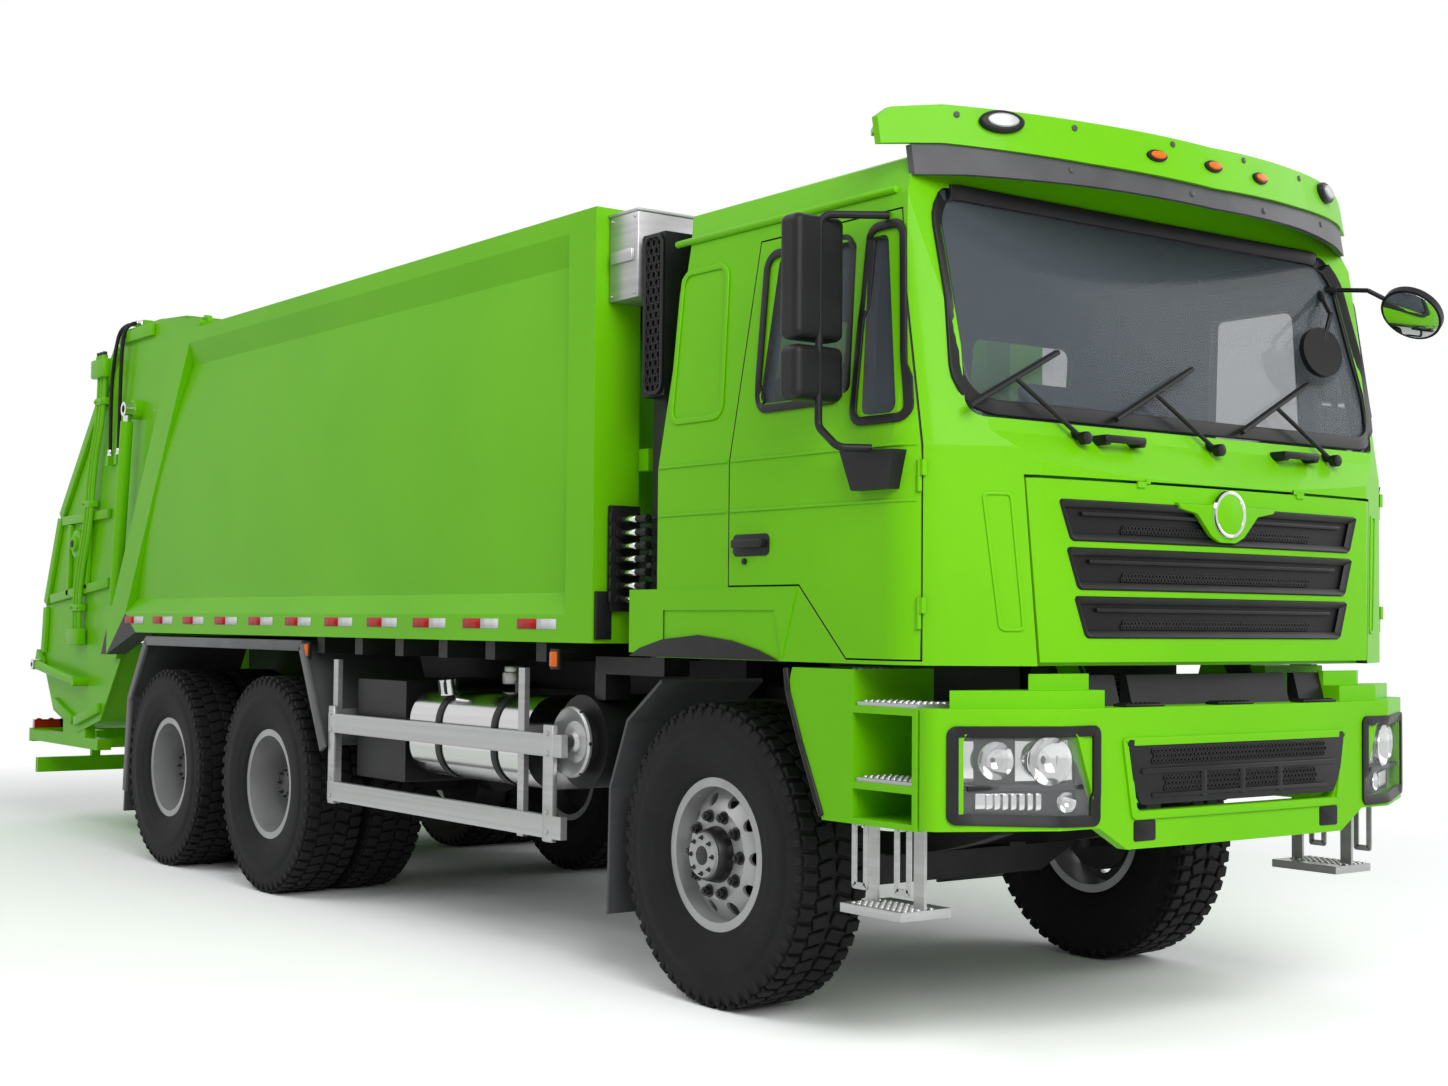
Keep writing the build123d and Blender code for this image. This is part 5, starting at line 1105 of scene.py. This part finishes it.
rod(bm, (-1.172, DRIER_Y, DRIER_Z), (-1.196, DRIER_Y, DRIER_Z), 0.020, 0.004, 6)
for i in range(6):
    angle = math.radians(60 * i)
    place = (-1.178, DRIER_Y + 0.140 * math.cos(angle), DRIER_Z + 0.140 * math.sin(angle))
    join(bm, slab((0.012, 0.014, 0.014), 0.003), place)
new_piece("drier_clips", bm, "nut_black", "chassis")
print("tank and drier dressed")

# %% [markdown]
# The side guard ends in broad plates with bolts, and two amber lamps hang under the body
# on each side. The mudguards have a flat grey edge, and the front wheel arches a bead.
# %% Guard plates, side lamps and edges
LAMP_PLACES, LAMP_HEIGHT = (3.300, 0.945), 1.262
guard_line = ((3.075, 0.800), (3.340, 1.300), (5.490, 1.300), (5.750, 0.950), (5.800, 0.400))
arch_line = ((-0.578, 1.262), (-0.590, 1.180), (-0.660, 1.010), (-0.775, 0.772))
for side, word in SIDES:
    small_parts_piece(
        f"guard_plates_{word}", "aluminium", "chassis",
        (slab((0.026, 0.075, 0.475), 0.005), (side * 1.216, at(0.995), 0.757)),
        (slab((0.026, 0.060, 0.475), 0.005), (side * 1.216, at(3.012), 0.757)),
        *((drum(0.011, 0.010, 0.003, 6), aim((side * 1.231, at(y), z), (side, 0, 0)))
          for y in (0.995, 3.012) for z in (0.560, 0.640, 0.880, 0.960)))
    small_parts_piece(f"side_lamps_{word}", "amber_lamp", "chassis", *(
        (slab((0.022, 0.050, 0.062), 0.006), (side * 1.232, at(y), LAMP_HEIGHT))
        for y in LAMP_PLACES))
    small_parts_piece(f"side_lamp_bases_{word}", "black_plastic", "chassis", *(
        part for y in LAMP_PLACES for part in (
            (slab((0.016, 0.068, 0.084), 0.005), (side * 1.226, at(y), LAMP_HEIGHT)),
            (slab((0.090, 0.030, 0.012), 0.003), (side * 1.178, at(y), LAMP_HEIGHT + 0.034)))))
    bm = bmesh.new()
    for start, end in zip(guard_line, guard_line[1:]):
        run = Vector((0, end[0] - start[0], end[1] - start[1]))
        middle = (side * 1.238, at((start[0] + end[0]) / 2), (start[1] + end[1]) / 2 - 0.018)
        turn = Matrix.Rotation(math.atan2(run.z, run.y), 4, "X")
        join(bm, slab((0.020, run.length + 0.006, 0.052), 0.004), Matrix.Translation(middle) @ turn)
    new_piece(f"mudguard_edge_{word}", bm, "mudguard_edge_grey", "chassis")
    bm = bmesh.new()
    arch = [(side * 1.240, at(y), z) for y, z in arch_line]
    for start, end in zip(arch, arch[1:]):
        rod(bm, start, end, 0.012, 0.003)
    new_piece(f"arch_edge_{word}", bm, "seal_rubber", "chassis")
print("chassis sides dressed")

# %% [markdown]
# Three wiper arms end in rubber blades on round pivots, and two grab handles stand under
# the windscreen.
# %% Wiper blades and grab handles
def before_screen(x, z, ahead):
    """A point in front of the leaning windscreen."""
    return Vector((x, at(-1.330 + 0.276 * (z - 2.040) - ahead), z))


bm = bmesh.new()
for foot in (-0.620, 0.060, 0.720):
    start = before_screen(foot - 0.480, 2.114, 0.016)
    end = before_screen(foot - 0.020, 2.330, 0.016)
    blade = slab((0.006, 0.022, (end - start).length), 0.002)
    join(bm, blade, aim((start + end) / 2, (end - start).normalized()))
    rod(bm, before_screen(foot, 2.036, 0.030), before_screen(foot, 2.036, 0.062), 0.022, 0.004)
for x in (-0.440, 0.500):
    join(bm, slab((0.200, 0.022, 0.026), 0.008, 3), before_screen(x, 2.040, 0.060))
    for foot in (-0.085, 0.085):
        join(bm, slab((0.030, 0.070, 0.034), 0.006), before_screen(x + foot, 2.036, 0.030))
new_piece("wiper_blades", bm, "seal_rubber", "cab")
print("blades and handles done")

# %% [markdown]
# Steel pipes and rubber hoses are round bars that follow smooth curves. The hoses stay
# curves, and the pipes are turned into meshes, so that several can join in one piece.
# %% Pipe helpers
def round_line(name, points, radius, bevel_resolution):
    """A round bar that follows control points, as a curve."""
    line = bpy.data.curves.new(name, "CURVE")
    line.dimensions = "3D"
    spline = line.splines.new("NURBS")
    spline.points.add(len(points) - 1)
    for point, place in zip(spline.points, points):
        point.co = (*place, 1)
    spline.order_u = 3
    spline.use_endpoint_u = True
    line.bevel_depth = radius
    line.bevel_resolution = bevel_resolution
    line.use_fill_caps = True
    return line


def pipe(bm, points, radius):
    """Joins a smooth pipe along control points."""
    line = round_line("line", points, radius, 3)
    line.resolution_u = 6
    holder = bpy.data.objects.new("holder", line)
    mesh = bpy.data.meshes.new_from_object(holder)
    bm.from_mesh(mesh)
    bpy.data.objects.remove(holder)
    bpy.data.meshes.remove(mesh)
    bpy.data.curves.remove(line)


# %% [markdown]
# The tailgate's sides are stiffened by raised ribs and carry three steel pipes between
# valve castings. The sides are flat, so a rib is one face that a modifier thickens.
# %% Tailgate sides
def side_rib(side, start, end, width):
    """A flat face between two points (y from the front axle, z) on the tailgate's side."""
    along = Vector((end[0] - start[0], 0, end[1] - start[1]))
    across = Vector((-along.z, 0, along.x)).normalized() * width / 2
    part = bmesh.new()
    a, b = Vector((start[0], 0, start[1])), Vector((end[0], 0, end[1]))
    corners = (a - across, b - across, b + across, a + across)
    part.faces.new([part.verts.new(corner) for corner in corners])
    bmesh.ops.transform(part, matrix=Matrix.Translation((0, FRONT_AXLE, 0)) @ SIDEWAYS,
                        verts=part.verts)
    bmesh.ops.translate(part, vec=(side * 1.111, 0, 0), verts=part.verts)
    bmesh.ops.recalc_face_normals(part, faces=part.faces)
    if part.faces[:][0].normal.x * side < 0:
        bmesh.ops.reverse_faces(part, faces=part.faces)
    return part


RIBS = (((6.420, 3.110), (7.420, 2.090), 0.070), ((7.440, 2.070), (7.700, 1.510), 0.070),
        ((7.700, 1.480), (7.740, 1.180), 0.070), ((5.800, 3.175), (6.360, 3.175), 0.070),
        ((6.500, 2.080), (7.380, 2.060), 0.060), ((6.480, 1.640), (7.600, 1.540), 0.060),
        ((6.620, 0.840), (7.080, 0.735), 0.060), ((7.120, 0.740), (7.500, 0.850), 0.060),
        ((6.860, 2.050), (6.900, 1.600), 0.050), ((7.230, 2.030), (7.260, 1.560), 0.050))
PIPE_BEND = ((1.150, 6.560, 2.980), (1.152, 6.560, 2.700), (1.156, 6.700, 2.420),
             (1.156, 6.760, 1.980), (1.152, 6.960, 1.620), (1.148, 6.960, 1.330))
PIPE_TOPS = (6.560, 6.612, 6.664)
for side, word in SIDES:
    ribs = bmesh.new()
    for start, end, width in RIBS:
        join(ribs, side_rib(side, start, end, width))
    draped_piece(f"gate_ribs_{word}", ribs, "green_paint", "tailgate_body", 0.026, 0.004)
    bm = bmesh.new()
    for shift in (0.0, 0.052, 0.104):
        pipe(bm, [(side * x, at(y + shift), z) for x, y, z in PIPE_BEND], 0.014)
    for y, z in ((6.612, 2.800), (6.800, 2.150), (7.000, 1.480)):
        join(bm, slab((0.050, 0.170, 0.046), 0.008), (side * 1.146, at(y), z))
        for dy in (-0.066, 0.066):
            join(bm, drum(0.010, 0.012, 0.003, 6), aim((side * 1.174, at(y + dy), z), (side, 0, 0)))
    join(bm, slab((0.070, 0.230, 0.120), 0.012), (side * 1.156, at(6.610), 3.010))
    join(bm, slab((0.064, 0.210, 0.110), 0.012), (side * 1.152, at(7.010), 1.290))
    for y in PIPE_TOPS:
        rod(bm, (side * 1.156, at(y), 3.060), (side * 1.156, at(y), 3.095), 0.020, 0.004, 6)
    join(bm, drum(0.095, 0.030, 0.008, 40), aim((side * 1.128, at(7.080), 1.900), (side, 0, 0)))
    join(bm, drum(0.050, 0.030, 0.008, 32), aim((side * 1.150, at(7.080), 1.900), (side, 0, 0)))
    new_piece(f"gate_pipes_{word}", bm, "green_paint", "tailgate_body")
    bm = bmesh.new()
    for y in PIPE_TOPS:
        rod(bm, (side * 1.156, at(y), 3.105 - 0.012), (side * 1.156, at(y), 3.105 + 0.012), 0.015,
            0.003)
    join(bm, drum(0.026, 0.014, 0.004, 6), aim((side * 1.166, at(7.080), 1.900), (side, 0, 0)))
    new_piece(f"gate_fittings_{word}", bm, "cast_metal", "tailgate_body")
print("tailgate sides dressed")

# %% [markdown]
# At the rear end are a row of lamps and a red strip on each side, and a blank plate.
# %% Rear lamps and plate
rear_red, rear_amber, rear_dark, rear_clear = [bmesh.new() for _ in range(4)]
for side, _ in SIDES:
    for x, group in ((1.045, rear_red), (0.960, rear_amber), (0.875, rear_clear)):
        join(group, drum(0.032, 0.016, 0.006, 32), aim((side * x, at(8.066), 0.675), (0, 1, 0)))
        join(rear_dark, drum(0.037, 0.008, 0.003, 32), aim((side * x, at(8.062), 0.675), (0, 1, 0)))
    join(rear_red, slab((0.150, 0.006, 0.040), 0.002), (side * 0.70, at(8.083), 0.600))
join(rear_dark, plate(box_outline((-0.230, 0.560), (0.230, 0.640)), 0.006, 0.010),
     (0, at(8.081), 0))
new_piece("rear_lamps_red", rear_red, "red_lamp", "tailgate_body")
new_piece("rear_lamps_amber", rear_amber, "amber_lamp", "tailgate_body")
new_piece("rear_lamps_clear", rear_clear, "white_tape", "tailgate_body")
new_piece("rear_lamp_bases", rear_dark, "black_plastic", "tailgate_body")
print("rear end dressed")

# %% [markdown]
# Two hydraulic hoses run from the tailgate's top to ports on its right side. They are
# stiff rubber, so each is one smooth spline through its route's own points.
# %% Hydraulic hoses
HOSE_ROUTES = {
    "hose_front": ((-1.038, 6.220, 3.270), (-1.084, 6.220, 3.270), (-1.126, 6.226, 3.246),
                   (-1.150, 6.234, 3.204), (-1.155, 6.250, 3.112), (-1.152, 6.272, 2.960),
                   (-1.144, 6.300, 2.790), (-1.135, 6.332, 2.610), (-1.135, 6.332, 2.440)),
    "hose_rear": ((-1.038, 6.300, 3.270), (-1.084, 6.300, 3.270), (-1.126, 6.308, 3.246),
                  (-1.150, 6.322, 3.204), (-1.158, 6.350, 3.116), (-1.160, 6.392, 2.976),
                  (-1.152, 6.436, 2.830), (-1.139, 6.472, 2.680), (-1.135, 6.484, 2.560),
                  (-1.135, 6.484, 2.440)),
}
for node, length in (("hose_front", 0.913), ("hose_rear", 0.929)):
    route = [(x, at(y), z) for x, y, z in HOSE_ROUTES[node]]
    line = round_line(f"{node}_line", route, 0.012, 5)
    line.materials.append(finish["hose_rubber"])
    hose = bpy.data.objects.new(f"{node}_rubber", line)
    bpy.context.scene.collection.objects.link(hose)
    bm = bmesh.new()
    for end, inner in ((route[0], route[1]), (route[-1], route[-2])):
        end, inner = Vector(end), Vector(inner)
        along = (inner - end).normalized()
        rod(bm, end, end + along * 0.014, 0.019, 0.003, 6)
        rod(bm, end + along * 0.014, end + along * 0.042, 0.0155, 0.002, 20)
    ends = new_piece(f"{node}_ferrules", bm, "rod_chrome", "tailgate_body")
    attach(hose, "tailgate_body")
    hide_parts(node)
print("two hoses")

# %% [markdown]
# The seats are foam under cloth. Each cushion starts as a box that is cut into a grid,
# pressed in along its seams and swollen between them, then smoothed by subdivision, which
# gives the crowned, pulled-in form of a stuffed seat. The steel pedestal is its own piece.
# %% Seats
def cushion(size, seams, swell):
    """A stuffed block with seams across its width at given parts of its length."""
    part = slab(size, min(size) * 0.22, 3)
    bmesh.ops.subdivide_edges(part, edges=[e for e in part.edges if e.calc_length() > 0.08], cuts=9,
                              use_grid_fill=True)
    half = [s / 2 for s in size]
    for vert in part.verts:
        a, b, c = (vert.co[i] / half[i] for i in range(3))
        crown = (1 - min(1, a * a)) * (1 - min(1, b * b))
        groove = sum(math.exp(-((b - s) / 0.045) ** 2) for s in seams)
        side_seam = math.exp(-((abs(a) - 0.62) / 0.05) ** 2)
        if c > 0:
            vert.co.z += swell * crown - 0.010 * groove - 0.008 * side_seam * (c > 0.6)
        vert.co.x *= 1 - 0.03 * (1 - abs(b))
    return part


bases = bmesh.new()
for seat_x, word in ((-0.620, "right"), (0.620, "left")):
    for label, size, place, lean, seams in (
            ("cushion", (0.470, 0.460, 0.110), (seat_x, at(-0.400), 1.790), -3, (-0.35, 0.30)),
            ("back", (0.460, 0.560, 0.105), (seat_x, at(-0.080), 2.080), 76, (-0.30, 0.25)),
            ("headrest", (0.280, 0.110, 0.080), (seat_x, at(0.000), 2.375), 78, ())):
        part = cushion(size, seams, 0.012)
        turn = Matrix.Rotation(math.radians(lean), 4, "X")
        bmesh.ops.transform(part, matrix=Matrix.Translation(place) @ turn, verts=part.verts)
        pad = new_piece(f"seat_{label}_{word}", part, "seat_cloth", "cab", 60)
        smooth = pad.modifiers.new("smooth", "SUBSURF")
        smooth.levels = smooth.render_levels = 1
    join(bases, slab((0.300, 0.380, 0.270), 0.020), (seat_x, at(-0.330), 1.562))
    join(bases, slab((0.400, 0.400, 0.030), 0.010), (seat_x, at(-0.360), 1.715))
seat_bases = new_piece("seat_bases", bases, "interior", "cab")
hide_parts("seats")
print("two seats")
